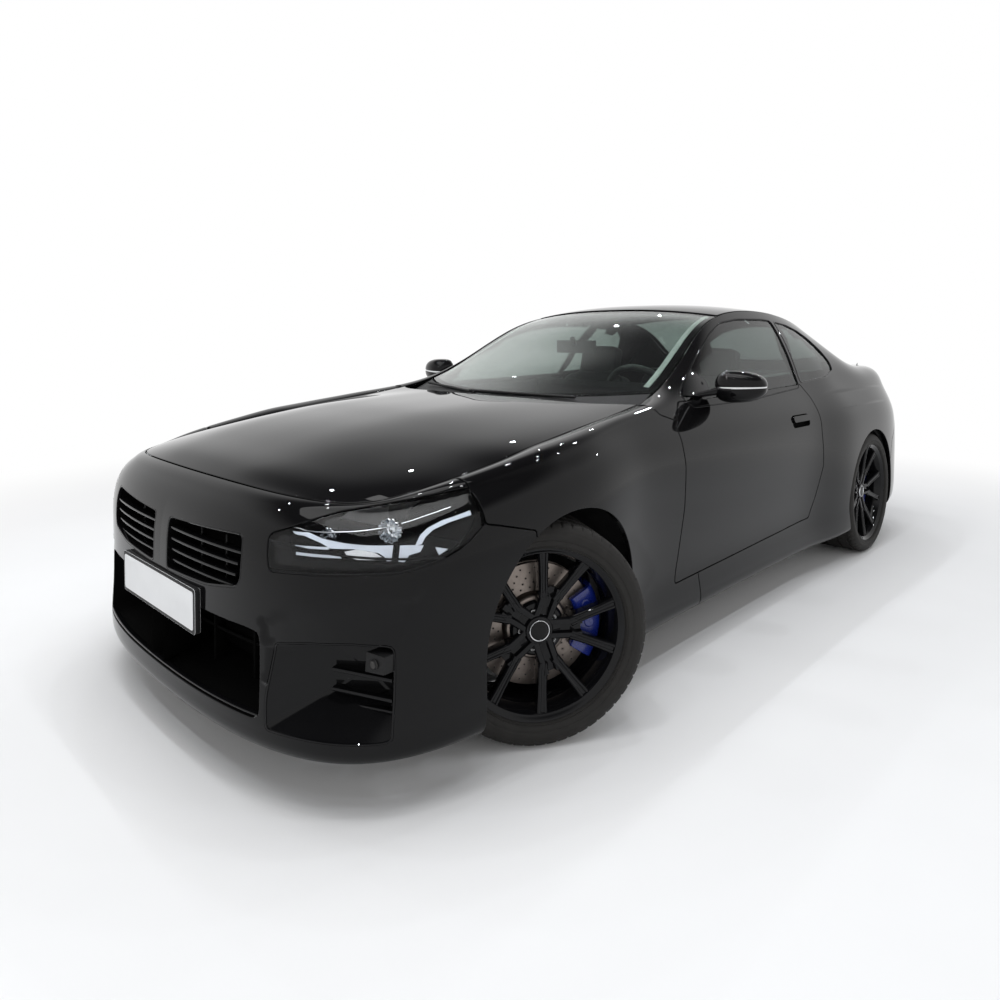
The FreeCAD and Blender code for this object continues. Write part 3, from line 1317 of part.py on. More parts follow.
def wiper(pivot_width, tip_width):
    # an arm that lies on the cowl and glass, worked out from the foot of the windscreen
    pivot_base = cowl_surface_point(pivot_width)
    tip_base = cowl_surface_point(tip_width)
    lift = Vector(0, 0, wiper_radius + seat_clearance)
    return bar(pivot_base + lift * 2, tip_base + lift * 3, wiper_radius)


def cowl_surface_point(width):
    row = cowl_grid[len(cowl_grid) // 2]
    for high, low in zip(row, row[1:]):
        if low.x <= abs(width) <= high.x:
            part_way = (abs(width) - low.x) / (high.x - low.x)
            point = low + (high - low) * part_way
            return Vector(math.copysign(point.x, width), point.y, point.z)
    raise ValueError("the cowl does not reach this width")


wiper_arms = [wiper(start, end) for start, end in
              ((size("wiper_pivot"), -size("wiper_tip")),
               (-size("wiper_pivot") * far_pivot_share, -size("wiper_far_tip")))]
cowl_solid = nodes["cowl_panel"].Shape
wiper_arms = [arm.cut(cowl_solid).cut(nodes["windscreen"].Shape) for arm in wiper_arms]
keep("wipers", Part.makeCompound([max(arm.Solids, key=lambda solid: solid.Volume)
                                  for arm in wiper_arms]))


# Check every object, then write each sub-part
document.recompute()
for item in document.Objects:
    if "Invalid" in item.State or "Error" in item.State:
        raise RuntimeError("failed object: " + item.Name)
os.makedirs("parts", exist_ok=True)
for label, item in nodes.items():
    shape = item.Shape
    if shape.isNull() or not shape.isValid():
        raise RuntimeError("bad shape: " + label)
    shape.exportStep("parts/" + label + ".step")
print(len(nodes), "sub-parts written")
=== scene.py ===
import math
import time

import bmesh
import bpy
import numpy as np
from mathutils import Matrix, Vector
from mathutils.geometry import delaunay_2d_cdt

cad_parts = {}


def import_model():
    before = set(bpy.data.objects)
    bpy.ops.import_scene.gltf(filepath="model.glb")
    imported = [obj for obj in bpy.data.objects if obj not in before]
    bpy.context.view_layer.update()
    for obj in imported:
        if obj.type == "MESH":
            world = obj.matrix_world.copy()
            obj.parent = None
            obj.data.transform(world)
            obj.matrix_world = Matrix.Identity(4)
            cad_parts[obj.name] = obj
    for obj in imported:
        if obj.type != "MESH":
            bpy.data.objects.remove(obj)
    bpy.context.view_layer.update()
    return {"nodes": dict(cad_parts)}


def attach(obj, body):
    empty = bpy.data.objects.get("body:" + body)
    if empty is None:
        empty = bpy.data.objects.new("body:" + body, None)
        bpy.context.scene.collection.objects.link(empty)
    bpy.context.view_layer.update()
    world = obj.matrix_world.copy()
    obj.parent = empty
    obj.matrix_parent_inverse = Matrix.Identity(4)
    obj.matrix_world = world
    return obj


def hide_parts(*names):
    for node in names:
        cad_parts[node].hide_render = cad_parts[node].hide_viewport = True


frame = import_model()
started = time.time()


def report(text):
    print("%5.1f s  %s" % (time.time() - started, text), flush=True)


# Tables of the body, as in the part's source: shares of its main sizes
bodyLength, halfWidth, bodyHeight = 4.58, .9435, 1.403
wheelBase, frontOverhang = 2.747, .862
nose = -bodyLength / 2
frontAxle = nose + frontOverhang
rearAxle = frontAxle + wheelBase
rearOverhang = bodyLength - wheelBase - frontOverhang

planShares = (
    (0, -.005, -90), (.18, -.005, -90), (.40, .012, -86), (.60, .055, -78), (.775, .135, -62),
    (.885, .265, -42), (.945, .42, -20), (.972, .58, -7), (.990, .78, 0), (1, .93, 0),
    (1, 1, 0), (1, 1.03, 0), (.992, 1.065, 0), (.972, 1.11, 0), (.950, 1.155, 0),
    (.941, 1.21, 0), (.938, 1.283, 0), (.938, 1.374, 0), (.939, 1.483, 0),
    (.941, 1.593, 0), (.945, 1.684, 0), (.952, 1.745, 0), (.972, 1.80, 0),
    (.994, 1.86, 0), (1, 1.92, 0), (1, 2, 0), (1, 2.15, 0), (.994, 2.32, 3),
    (.975, 2.49, 10), (.935, 2.65, 24), (.855, 2.80, 48), (.70, 2.925, 70),
    (.46, 2.985, 84), (.2, 3, 90), (0, 3, 90))
lowerRowShares = (
    ((0, .075, .093), (5, .075, .093), (8, .06, .10), (13, .06, .105), (23, .06, .110),
     (28, .06, .15), (34, .09, .19)),
    ((0, .012, .092), (5, .012, .092), (8, .012, .10), (13, .012, .108), (23, .012, .112),
     (28, .012, .15), (34, .03, .19)),
    ((0, 0, .135), (5, 0, .135), (8, 0, .14), (13, .004, .15), (23, .004, .15),
     (28, 0, .20), (34, 0, .24)),
    ((0, .010, .215), (5, .010, .215), (8, 0, .21), (12, 0, .21), (14, .030, .215),
     (20, .034, .215), (22, .02, .215), (25, 0, .215), (28, 0, .27), (34, 0, .31)),
    ((0, .016, .30), (5, .012, .30), (8, 0, .30), (12, 0, .30), (15, .022, .30),
     (20, .022, .30), (23, 0, .30), (28, 0, .34), (34, 0, .38)),
    ((0, .018, .385), (5, .008, .39), (8, 0, .40), (12, 0, .40), (15, .010, .415),
     (20, .010, .415), (23, 0, .40), (28, 0, .42), (34, .004, .45)),
    ((0, .022, .47), (5, .008, .475), (8, .004, .49), (12, 0, .50), (15, 0, .54),
     (20, 0, .54), (23, 0, .51), (28, .004, .50), (34, .012, .52)),
    ((0, .05, .522), (5, .05, .52), (8, .028, .555), (12, .012, .58), (15, .010, .60),
     (20, .010, .605), (23, .014, .595), (28, .02, .58), (34, .03, .58)))
shoulderShares = (
    (0, .085, .545), (3, .085, .545), (5, .12, .535), (7, .085, .565), (9, .070, .600),
    (11, .075, .612), (13, .075, .630), (15, .075, .655), (16, .080, .672),
    (18, .085, .680), (21, .105, .69), (24, .14, .695), (26, .12, .685), (28, .10, .67),
    (30, .07, .65), (34, .06, .64))
seamShares = (
    (0, 0, .137, .566), (1, .18, .138, .566), (2, .38, .155, .563), (3, .56, .19, .558),
    (4, .70, .26, .553), (5, .765, .36, .556), (6, .79, .48, .570), (7, .80, .62, .582),
    (8, .80, .78, .596), (9, .80, .92, .612), (10, .797, 1, .622), (11, .792, 1.035, .630),
    (12, .785, 1.075, .640), (13, .777, 1.12, .652), (14, .768, 1.17, .664),
    (15, .757, 1.225, .676), (16, .730, 1.305, .705), (17, .688, 1.40, .800),
    (18, .630, 1.495, .912), (19, .602, 1.593, .958), (20, .595, 1.684, .970),
    (21, .590, 1.76, .970), (22, .585, 1.83, .962), (23, .580, 1.90, .944),
    (24, .580, 1.96, .915), (25, .590, 2.05, .870), (26, .60, 2.22, .80),
    (27, .625, 2.40, .755), (28, .650, 2.55, .745), (29, .66, 2.70, .742),
    (30, .65, 2.80, .742), (31, .55, 2.865, .742), (32, .38, 2.895, .742),
    (33, .18, 2.905, .742), (34, 0, 2.905, .742))
crownShares = ((0, .004), (4, .004), (6, .02), (8, .035), (14, .03), (16, .02), (18, .02),
               (22, .022), (25, .035), (28, .05), (30, .05), (34, .03))
bandSplitShares = (0, .22, .5, .78, .94, 1)
crownOutShare, crownUpShare = .6, .8
columnShares = (1, .945, .88, .72, .55, .38, .2, 0)
bowPower, sagPower = 2.2, 2.4
bonnetShares = (
    (.245, .150, .567, .004), (.29, .178, .578, .0045), (.34, .21, .588, .005),
    (.47, .32, .6075, .006), (.62, .46, .6265, .008), (.78, .63, .6445, .009),
    (.94, .80, .657, .009), (1.04, .95, .666, .009), (1.11, 1.05, .674, .008),
    (1.18, 1.12, .681, .006), (1.245, 1.175, .686, .004))
domeShares = ((0, 1), (.38, 1), (.55, .55), (.72, .08), (.88, 0), (1, 0))
roofShares = (
    (1.212, .690, .090), (1.25, .722, .086), (1.31, .774, .078), (1.38, .834, .066),
    (1.455, .905, .050), (1.515, .953, .032), (1.575, .981, .016), (1.64, .995, .006),
    (1.71, 1, 0), (1.79, .996, 0), (1.87, .984, -.006), (1.955, .957, -.018),
    (2.08, .912, -.036), (2.24, .848, -.058), (2.40, .785, -.072), (2.48, .7585, -.077))
deckShares = (
    (2.270, 2.488, .7565), (2.37, 2.555, .752), (2.49, 2.635, .748), (2.60, 2.71, .7455),
    (2.70, 2.785, .744), (2.80, 2.865, .743))


def along(share):
    # 0 is the nose, 1 the front axle, 2 the rear axle, 3 the tail
    share = np.asarray(share, float)
    return np.where(share <= 1, nose + frontOverhang * share,
                    np.where(share <= 2, frontAxle + wheelBase * (share - 1),
                             rearAxle + rearOverhang * (share - 2)))


def reading(table, station):
    table = np.asarray(table, float)
    return [np.interp(station, table[:, 0], table[:, k]) for k in range(1, table.shape[1])]


# Smooth sheets: a grid of points and the weights that blend it
def basisRows(count):
    # weights of a clamped cubic B-spline with evenly spread knots
    spans = count - 3
    knots = np.concatenate([np.zeros(3), np.linspace(0, 1, spans + 1), np.ones(3)])

    def rows(values):
        values = np.clip(values, 0, 1 - 1e-9)[:, None]
        weights = ((knots[:-1] <= values) & (values < knots[1:])).astype(float)
        for degree in (1, 2, 3):
            lower, upper = knots[:-degree - 1], knots[degree + 1:]
            rise = knots[degree:-1] - lower
            fall = upper - knots[1:-degree]
            weights = (weights[:, :-1] * (values - lower) / np.where(rise > 0, rise, 1)
                       + weights[:, 1:] * (upper - values) / np.where(fall > 0, fall, 1))
        return weights
    return rows


def splineRows(stations):
    # weights of a natural cubic spline through the stations
    count = len(stations)
    spans = np.diff(stations)
    left, right = np.eye(count), np.zeros((count, count))
    for i in range(1, count - 1):
        left[i, i - 1:i + 2] = spans[i - 1], 2 * (spans[i - 1] + spans[i]), spans[i]
        right[i, i - 1:i + 2] = (6 / spans[i - 1], -6 / spans[i - 1] - 6 / spans[i],
                                 6 / spans[i])
    bend = np.linalg.solve(left, right)

    def rows(values):
        values = np.clip(values, stations[0], stations[-1])
        k = np.clip(np.searchsorted(stations, values, side="right") - 1, 0, count - 2)
        ahead, behind, span = values - stations[k], stations[k + 1] - values, spans[k]
        weights = (bend[k] * ((behind ** 3 / span - behind * span) / 6)[:, None]
                   + bend[k + 1] * ((ahead ** 3 / span - ahead * span) / 6)[:, None])
        index = np.arange(len(values))
        weights[index, k] += behind / span
        weights[index, k + 1] += ahead / span
        return weights
    return rows


def chordStations(grid, axis):
    steps = np.linalg.norm(np.diff(grid, axis=axis), axis=2)
    steps = steps / steps.sum(axis=axis, keepdims=True)
    return np.concatenate([[0], np.cumsum(steps.mean(axis=1 - axis))])


# shares of a sheet's length at which its run is measured
runShares = np.linspace(0, 1, 400)


class Sheet:
    beyondStep = .0005  # share of the sheet, for the slope past its edges
    slopeStep = .0012  # metres, for slopes on the sheet
    fineCells = (360, 70)
    chunk = 20000
    searchRounds, longestStep, margin, closeEnough = 6, .05, .06, .0006

    def __init__(self, grid, interpolate=False):
        self.grid = np.asarray(grid, float)
        self.relief, self.depth = None, 0
        if interpolate:
            self.rowsU, self.rowsV = (splineRows(chordStations(self.grid, k)) for k in (0, 1))
        else:
            self.rowsU, self.rowsV = (basisRows(count) for count in self.grid.shape[:2])
        self.spanU, self.spanV = (
            np.linalg.norm(np.diff(self.grid, axis=k), axis=2).sum(k).mean() for k in (0, 1))
        shares = [np.linspace(0, 1, count) for count in self.fineCells]
        self.fineUv = np.stack(np.meshgrid(*shares, indexing="ij"), -1).reshape(-1, 2)
        self.finePlace = self.plain(self.fineUv)

    def sunk(self, depth, relief=None):
        # the same sheet set back by the depth, with or without a relief
        result = object.__new__(Sheet)
        result.__dict__.update(self.__dict__)
        result.depth, result.relief = depth, relief
        return result

    def plain(self, uv):
        # beyond its edges the sheet runs on straight
        inner = np.clip(uv, 0, 1)
        places = self.inner(inner)
        over = uv - inner
        for k in (0, 1):
            beyond = np.flatnonzero(over[:, k])
            if len(beyond):
                back = inner[beyond].copy()
                back[:, k] = np.where(over[beyond, k] > 0, 1 - self.beyondStep, self.beyondStep)
                slope = (places[beyond] - self.inner(back)) / (
                    inner[beyond, k] - back[:, k])[:, None]
                places[beyond] += slope * over[beyond, k][:, None]
        return places

    def inner(self, uv):
        result = np.empty((len(uv), 3))
        for start in range(0, len(uv), self.chunk):
            part = uv[start:start + self.chunk]
            mixed = np.tensordot(self.rowsU(part[:, 0]), self.grid, (1, 0))
            result[start:start + self.chunk] = (mixed * self.rowsV(part[:, 1])[:, :, None]).sum(1)
        return result

    def lengths(self):
        # run of the sheet's mean length along each direction
        runs = []
        for k in (0, 1):
            total = np.zeros(len(runShares) - 1)
            for other in np.linspace(.1, .9, 9):
                uv = np.full((len(runShares), 2), other)
                uv[:, k] = runShares
                total += np.linalg.norm(np.diff(self.inner(uv), axis=0), axis=1)
            runs.append(np.concatenate([[0], np.cumsum(total / 9)]))
        return runs

    def lifted(self, uv):
        places = self.plain(uv)
        if self.relief is not None:
            places = places + self.relief(places)
        return places

    def slopes(self, uv, lifted=True):
        at = self.lifted if lifted else self.plain
        stepU, stepV = self.slopeStep / self.spanU, self.slopeStep / self.spanV
        lowU, highU = uv[:, 0] - stepU, uv[:, 0] + stepU
        lowV, highV = uv[:, 1] - stepV, uv[:, 1] + stepV
        alongU = (at(np.stack([highU, uv[:, 1]], 1)) - at(np.stack([lowU, uv[:, 1]], 1)))
        alongV = (at(np.stack([uv[:, 0], highV], 1)) - at(np.stack([uv[:, 0], lowV], 1)))
        return alongU / (highU - lowU)[:, None], alongV / (highV - lowV)[:, None]

    def at(self, uv):
        # places and outward normals
        alongU, alongV = self.slopes(uv)
        normals = unit(np.cross(alongU, alongV))
        places = self.lifted(uv)
        if self.depth:
            base = unit(np.cross(*self.slopes(uv, False)))
            places = places - base * self.depth
        return places, normals

    def find(self, targets, axes, end=0):
        # places on the sheet whose two named coordinates match the targets;
        # end -1 looks only at the front half of the body, 1 at the rear half
        near = np.empty((len(targets), 2))
        allowed = self.finePlace[:, 1] * end >= 0
        finePlace, fineUv = self.finePlace[allowed], self.fineUv[allowed]
        for k, target in enumerate(targets):
            gaps = ((finePlace[:, axes] - target) ** 2).sum(1)
            near[k] = fineUv[gaps.argmin()]
        for _ in range(self.searchRounds):
            miss = targets - self.plain(near)[:, axes]
            alongU, alongV = (slope[:, axes] for slope in self.slopes(near, False))
            det = alongU[:, 0] * alongV[:, 1] - alongU[:, 1] * alongV[:, 0]
            det = np.where(abs(det) < 1e-9, 1e-9, det)
            step = np.stack([(miss[:, 0] * alongV[:, 1] - miss[:, 1] * alongV[:, 0]) / det,
                             (alongU[:, 0] * miss[:, 1] - alongU[:, 1] * miss[:, 0]) / det], 1)
            step = np.clip(step, -self.longestStep, self.longestStep)
            near = np.clip(near + step, -self.margin, 1 + self.margin)
        miss = np.linalg.norm(targets - self.plain(near)[:, axes], axis=1)
        return near, miss < self.closeEnough


def unit(vectors):
    return vectors / np.maximum(np.linalg.norm(vectors, axis=-1, keepdims=True), 1e-12)


def sideGrid():
    grid = []
    for station, (widthShare, place, heading) in enumerate(planShares):
        turn = math.radians(heading)
        facing = np.array([math.cos(turn), math.sin(turn), 0])
        edge = np.array([widthShare * halfWidth, float(along(place)), 0])
        column = []
        for row in lowerRowShares + (shoulderShares,):
            inset, level = reading(row, station)
            pole = edge - facing * (inset * halfWidth)
            column.append([max(pole[0], 0), pole[1], level * bodyHeight])
        shoulder = np.array(column.pop())
        seamWidth, seamPlace, seamLevel = seamShares[station][1:]
        seam = np.array([seamWidth * halfWidth, float(along(seamPlace)), seamLevel * bodyHeight])
        crown = reading(crownShares, station)[0] * halfWidth
        for share in bandSplitShares:
            swell = 4 * share * (1 - share) * crown
            pole = shoulder + (seam - shoulder) * share + facing * (swell * crownOutShare)
            pole[2] += swell * crownUpShare
            if station in (0, len(planShares) - 1):
                pole[0] = 0
            column.append(pole)
        grid.append(column)
    return np.array(grid, float)


seamPoles = np.array([[0 if k in (0, len(seamShares) - 1) else width * halfWidth,
                       float(along(place)), level * bodyHeight]
                      for k, width, place, level in seamShares])
seamLine = basisRows(len(seamPoles))(np.linspace(0, 1, 2400)) @ seamPoles


def seamAt(place):
    index = np.flatnonzero((seamLine[:-1, 1] <= place) & (seamLine[1:, 1] >= place)
                           & (seamLine[:-1, 0] > 0))[0]
    low, high = seamLine[index], seamLine[index + 1]
    return low + (high - low) * ((place - low[1]) / (high[1] - low[1]))


def seamAcross(width, points):
    return np.array([np.interp(width, points[:, 0], points[:, k]) for k in range(3)])


def bothSides(half):
    half = np.array(half)
    other = half[:, -2::-1].copy()
    other[..., 0] *= -1
    return np.concatenate([half, other], axis=1)


def bonnetGrid():
    first = float(along(bonnetShares[0][0]))
    front = np.array([p for p in seamLine if p[1] < first] + [seamAt(first)])
    corner, start = front[-1], front[0]
    row = [seamAcross(share * corner[0], front) for share in columnShares]
    bend = [(p[1] - start[1]) / (corner[1] - start[1]) for p in row]
    grid = [row]
    for edgePlace, middlePlace, middleLevel, fold in bonnetShares[1:]:
        edge = seamAt(float(along(edgePlace)))
        middle = (float(along(middlePlace)), middleLevel * bodyHeight)
        grid.append([[share * edge[0], middle[0] + (edge[1] - middle[0]) * curl,
                      middle[1] + (edge[2] - middle[1]) * share ** sagPower
                      + reading(domeShares, share)[0] * fold * bodyHeight]
                     for share, curl in zip(columnShares, bend)])
    return bothSides(grid)


def bowedGrid(rows):
    return [[[share * edge[0], middle[0] + (edge[1] - middle[0]) * share ** bowPower,
              middle[1] + (edge[2] - middle[1]) * share ** sagPower]
             for share in columnShares] for edge, middle in rows]


def roofGrid():
    return bothSides(bowedGrid([(seamAt(float(along(place)) + bow * wheelBase),
                                 (float(along(place)), level * bodyHeight))
                                for place, level, bow in roofShares]))


def deckGrid():
    grid = bowedGrid([(seamAt(float(along(edge))), (float(along(middle)), level * bodyHeight))
                      for edge, middle, level in deckShares])
    limit = float(along(deckShares[-1][0])) + .005
    tail = np.array([p for p in seamLine[::-1] if p[1] > limit])
    grid.append([seamAcross(share * tail[-1, 0], tail) for share in columnShares])
    return bothSides(grid)


# Outlines in metres. Side outlines are (place, height), front ones (width, height)
def sideOutline(shares):
    return np.array([[float(along(a)), b * bodyHeight] for a, b in shares])


def frontOutline(shares):
    return np.array([[a * halfWidth, b * bodyHeight] for a, b in shares])


cornerShare = .48


def rounded(points, radius, step=.008):
    # closed outline with each corner eased by up to the radius, sampled evenly;
    # a corner takes up less than half of the shorter side beside it
    points = np.asarray(points, float)
    radii = np.broadcast_to(np.asarray(radius, float), (len(points),))
    result = []
    for k, corner in enumerate(points):
        before, after = points[k - 1], points[(k + 1) % len(points)]
        reachA = min(radii[k], cornerShare * np.linalg.norm(before - corner))
        reachB = min(radii[k], cornerShare * np.linalg.norm(after - corner))
        start = corner + unit(before - corner) * reachA
        end = corner + unit(after - corner) * reachB
        count = max(2, int((reachA + reachB) / step))
        for t in np.linspace(0, 1, count + 1):
            result.append(start * (1 - t) ** 2 + corner * 2 * t * (1 - t) + end * t ** 2)
    return resampled(np.array(result), step)


def runAlong(points):
    return np.concatenate([[0], np.cumsum(np.linalg.norm(np.diff(points, axis=0), axis=1))])


def resampled(points, step, closed=True):
    if closed:
        points = np.vstack([points, points[:1]])
    run = runAlong(points)
    count = max(8, int(round(run[-1] / step)))
    places = np.linspace(0, run[-1], count, endpoint=not closed)
    return np.stack([np.interp(places, run, points[:, k]) for k in range(points.shape[1])], 1)


def inside(points, outline):
    result = np.zeros(len(points), bool)
    x, y = points[:, 0], points[:, 1]
    for (ax, ay), (bx, by) in zip(outline, np.roll(outline, -1, axis=0)):
        if ay != by:
            result ^= ((ay > y) != (by > y)) & (x < (bx - ax) * (y - ay) / (by - ay) + ax)
    return result


# The two planes in which shapes are drawn, by the axes that they keep
sidePlane, frontPlane = [1, 2], [0, 2]


class Shape:
    edgeMargin, longestJump = .04, .2

    def __init__(self, outline, axes, end=0):
        self.outline, self.axes, self.end = np.asarray(outline, float), axes, end

    def holds(self, places):
        return inside(places[:, self.axes], self.outline) & (places[:, 1] * self.end >= 0)

    def chains(self, sheet, closed=True):
        # runs of places on the sheet under the outline
        uv, good = sheet.find(self.outline, self.axes, self.end)
        good &= (uv > -self.edgeMargin).all(1) & (uv < 1 + self.edgeMargin).all(1)
        count = len(uv)
        runs, run = [], []
        start = 0 if good.all() or not closed else int(np.flatnonzero(~good)[0])
        for step in range(count + closed):
            k = (start + step) % count
            if good[k] and (not run or np.linalg.norm(uv[k] - run[-1]) < self.longestJump):
                run.append(uv[k])
            else:
                if len(run) > 1:
                    runs.append(np.array(run))
                run = [uv[k]] if good[k] else []
        if len(run) > 1:
            runs.append(np.array(run))
        return runs


def sideShape(shares, radius=.008):
    return Shape(rounded(sideOutline(shares), radius), sidePlane)


def frontShape(shares, radius=.008, end=-1):
    return Shape(rounded(frontOutline(shares), radius), frontPlane, end)


def roundShape(center, radius):
    turns = np.linspace(0, 2 * math.pi, 241)[:-1]
    return Shape(np.stack([center[0] + radius * np.cos(turns),
                           center[1] + radius * np.sin(turns)], 1), sidePlane)


# spacing along the window's border and clear space around fixed points, in steps
borderShare, clearShare = .6, .62


def patchwork(sheet, shapes, keep, step=.018, creases=(), window=(0, 1, 0, 1)):
    # triangles of the sheet's part for which keep() holds, with edges along the shapes
    lengthsU, lengthsV = sheet.lengths()

    def flat(uv):
        clipped = np.clip(uv, 0, 1)
        scale = np.array([lengthsU[-1], lengthsV[-1]])
        return np.stack([np.interp(clipped[:, 0], runShares, lengthsU),
                         np.interp(clipped[:, 1], runShares, lengthsV)],
                        1) + (uv - clipped) * scale

    def unflat(points):
        return np.stack([np.interp(points[:, 0], lengthsU, runShares),
                         np.interp(points[:, 1], lengthsV, runShares)], 1)

    u0, u1, v0, v1 = window
    corners = flat(np.array([[u0, v0], [u1, v0], [u1, v1], [u0, v1]], float))
    border = np.vstack([resampled(corners, step * borderShare), corners])
    turn = np.arctan2(border[:, 1] - corners[:, 1].mean(), border[:, 0] - corners[:, 0].mean())
    border = border[np.argsort(turn)]
    border = border[np.concatenate([[True], np.linalg.norm(np.diff(border, axis=0), axis=1)
                                    > 1e-5])]
    chains = [(border, True)]
    for shape in shapes.values():
        chains += [(flat(run), False) for run in shape.chains(sheet)]
    for crease in creases:
        chains += [(flat(run), False) for run in crease.chains(sheet, False)]
    points, edges = [], []
    for chain, closed in chains:
        base = sum(len(p) for p in points)
        points.append(chain)
        count = len(chain)
        edges += [(base + k, base + (k + 1) % count)
                  for k in range(count if closed else count - 1)]
    fixed = np.vstack(points)
    low, high = corners.min(0), corners.max(0)
    columns = max(3, int((high[0] - low[0]) / step))
    rows = max(3, int((high[1] - low[1]) / step))
    gridX, gridY = np.meshgrid(np.linspace(low[0], high[0], columns + 1)[1:-1],
                               np.linspace(low[1], high[1], rows + 1)[1:-1], indexing="ij")
    grid = np.stack([gridX.ravel(), gridY.ravel()], 1)
    cell = step * clearShare
    taken = set()
    for place in np.floor(fixed / cell).astype(int):
        for i in (-1, 0, 1):
            for j in (-1, 0, 1):
                taken.add((place[0] + i, place[1] + j))
    grid = grid[[(a, b) not in taken for a, b in np.floor(grid / cell).astype(int)]]

    def kept(points):
        uv = unflat(points)
        places = sheet.plain(uv)
        return keep({name: shape.holds(places) for name, shape in shapes.items()}, places, uv)
    grid = grid[kept(grid)]
    places = np.vstack([fixed, grid])
    result = delaunay_2d_cdt([Vector(p) for p in places], edges, [], 0, 1e-6)
    flatPoints = np.array([tuple(v) for v in result[0]])
    triangles = np.array(result[2], int)
    middle = flatPoints[triangles].mean(1)
    ok = ((middle > low - 1e-6) & (middle < high + 1e-6)).all(1)
    triangles, middle = triangles[ok], middle[ok]
    triangles = triangles[kept(middle)]
    used, triangles = np.unique(triangles, return_inverse=True)
    triangles = triangles.reshape(-1, 3)
    flatPoints = flatPoints[used]
    verts, normals = sheet.at(unflat(flatPoints))
    sides, others = (flatPoints[triangles[:, k]] - flatPoints[triangles[:, 0]] for k in (1, 2))
    area = sides[:, 0] * others[:, 1] - sides[:, 1] * others[:, 0]
    solid = abs(area) > 1e-10
    triangles, area = triangles[solid], area[solid]
    triangles[area < 0] = triangles[area < 0][:, ::-1]
    return verts, normals, triangles


middleStrip = 2e-4  # places this close to the car's middle count as on it


def rimmed(verts, normals, triangles, gap=.0018, radius=.0025, wall=.012, rings=3,
           centre=True):
    # rounds the free edges over and closes them with an upright wall
    edges = dict.fromkeys(edge for a, b, c in triangles for edge in ((a, b), (b, c), (c, a)))
    free = [list(e) for e in edges if (e[1], e[0]) not in edges]
    if centre:
        free = [e for e in free if max(abs(verts[e, 0])) > middleStrip]
    free = np.array(free)
    heading = unit(verts[free[:, 1]] - verts[free[:, 0]])
    outward = unit(np.cross(heading, (normals[free[:, 0]] + normals[free[:, 1]])))
    total = np.zeros_like(verts)
    for k in (0, 1):
        np.add.at(total, free[:, k], outward)
    rim = np.unique(free)
    reach = total[rim]
    if centre:
        reach[abs(verts[rim, 0]) < middleStrip, 0] = 0
    reach = unit(reach)
    up = normals[rim]
    reach = unit(reach - up * (reach * up).sum(1, keepdims=True))
    cosine, number = np.zeros(len(verts)), np.zeros(len(verts))
    position = {v: k for k, v in enumerate(rim)}
    row = np.array([position[v] for v in free.ravel()]).reshape(-1, 2)
    for k in (0, 1):
        np.add.at(cosine, free[:, k], (reach[row[:, k]] * outward).sum(1))
        np.add.at(number, free[:, k], 1)
    spread = 1 / np.clip(cosine[rim] / number[rim], .6, 1)[:, None]
    verts = verts.copy()
    verts[rim] -= reach * spread * (gap + radius)
    base = verts[rim].copy()
    newVerts, newNormals, faces = [verts], [normals], [triangles.tolist()]
    previous = rim
    offset = len(verts)
    for ring in range(1, rings + 2):
        turn = min(ring, rings) * (math.pi / 2) / rings
        place = (base + reach * spread * (radius * math.sin(turn))
                 - up * (radius * (1 - math.cos(turn))))
        if ring > rings:
            place = place - up * wall
        newVerts.append(place)
        newNormals.append(reach * math.sin(turn) + up * math.cos(turn))
        current = offset + np.arange(len(rim))
        faces.append([(previous[b], previous[a], current[a], current[b]) for a, b in row])
        previous = current
        offset += len(rim)
    # inner side of the sheet metal
    rest = np.setdiff1d(np.arange(len(verts)), rim)
    remap = np.zeros(len(verts), int)
    remap[rim] = previous
    remap[rest] = offset + np.arange(len(rest))
    newVerts.append(verts[rest] - normals[rest] * (radius + wall))
    newNormals.append(-normals[rest])
    faces.append([(remap[c], remap[b], remap[a]) for a, b, c in triangles])
    return (np.vstack(newVerts), np.vstack(newNormals),
            [tuple(int(k) for k in face) for group in faces for face in group])


def mirrorOf(verts, normals, faces):
    flip = np.array([-1, 1, 1])
    return verts * flip, normals * flip, [tuple(face[::-1]) for face in faces]


def meshOf(name, verts, faces, normals=None, smooth=True):
    mesh = bpy.data.meshes.new(name)
    mesh.from_pydata([tuple(map(float, v)) for v in verts], [], faces)
    mesh.update()
    if smooth:
        mesh.shade_smooth()
    if normals is not None:
        mesh.normals_split_custom_set_from_vertices([tuple(map(float, n)) for n in normals])
    return mesh


def objectOf(name, mesh, material=None, matrix=None):
    # the object stays at the origin: its place goes into its mesh
    if matrix is not None:
        mesh = mesh.copy()
        mesh.transform(matrix)
    made = bpy.data.objects.new(name, mesh)
    bpy.context.scene.collection.objects.link(made)
    if material is not None:
        mesh.materials.clear()
        mesh.materials.append(material)
    return made


def merged(parts):
    verts, normals, faces, base = [], [], [], 0
    for v, n, f in parts:
        verts.append(v)
        normals.append(n)
        faces += [tuple(k + base for k in face) for face in f]
        base += len(v)
    return np.vstack(verts), np.vstack(normals), faces


wedgeNodes = {
    # (width, height) and how far the facet lies behind the plain surface
    "a": (.545, .476, .002), "b": (.629, .518, 0), "c": (.750, .550, 0), "d": (.816, .561, 0),
    "e": (.8545, .548, .001), "f": (.872, .575, 0), "g": (.574, .405, .018),
    "h": (.656, .412, .024), "i": (.750, .422, .025), "j": (.8365, .425, 0),
    "k": (.560, .300, 0), "m": (.880, .440, 0)}
wedgeFaces = ("agb", "gbh", "bhc", "hci", "cid", "ide", "iej", "efm", "ejm", "agk")
wedgeLines = ("abcdef", "ie", "ij", "je", "fj")


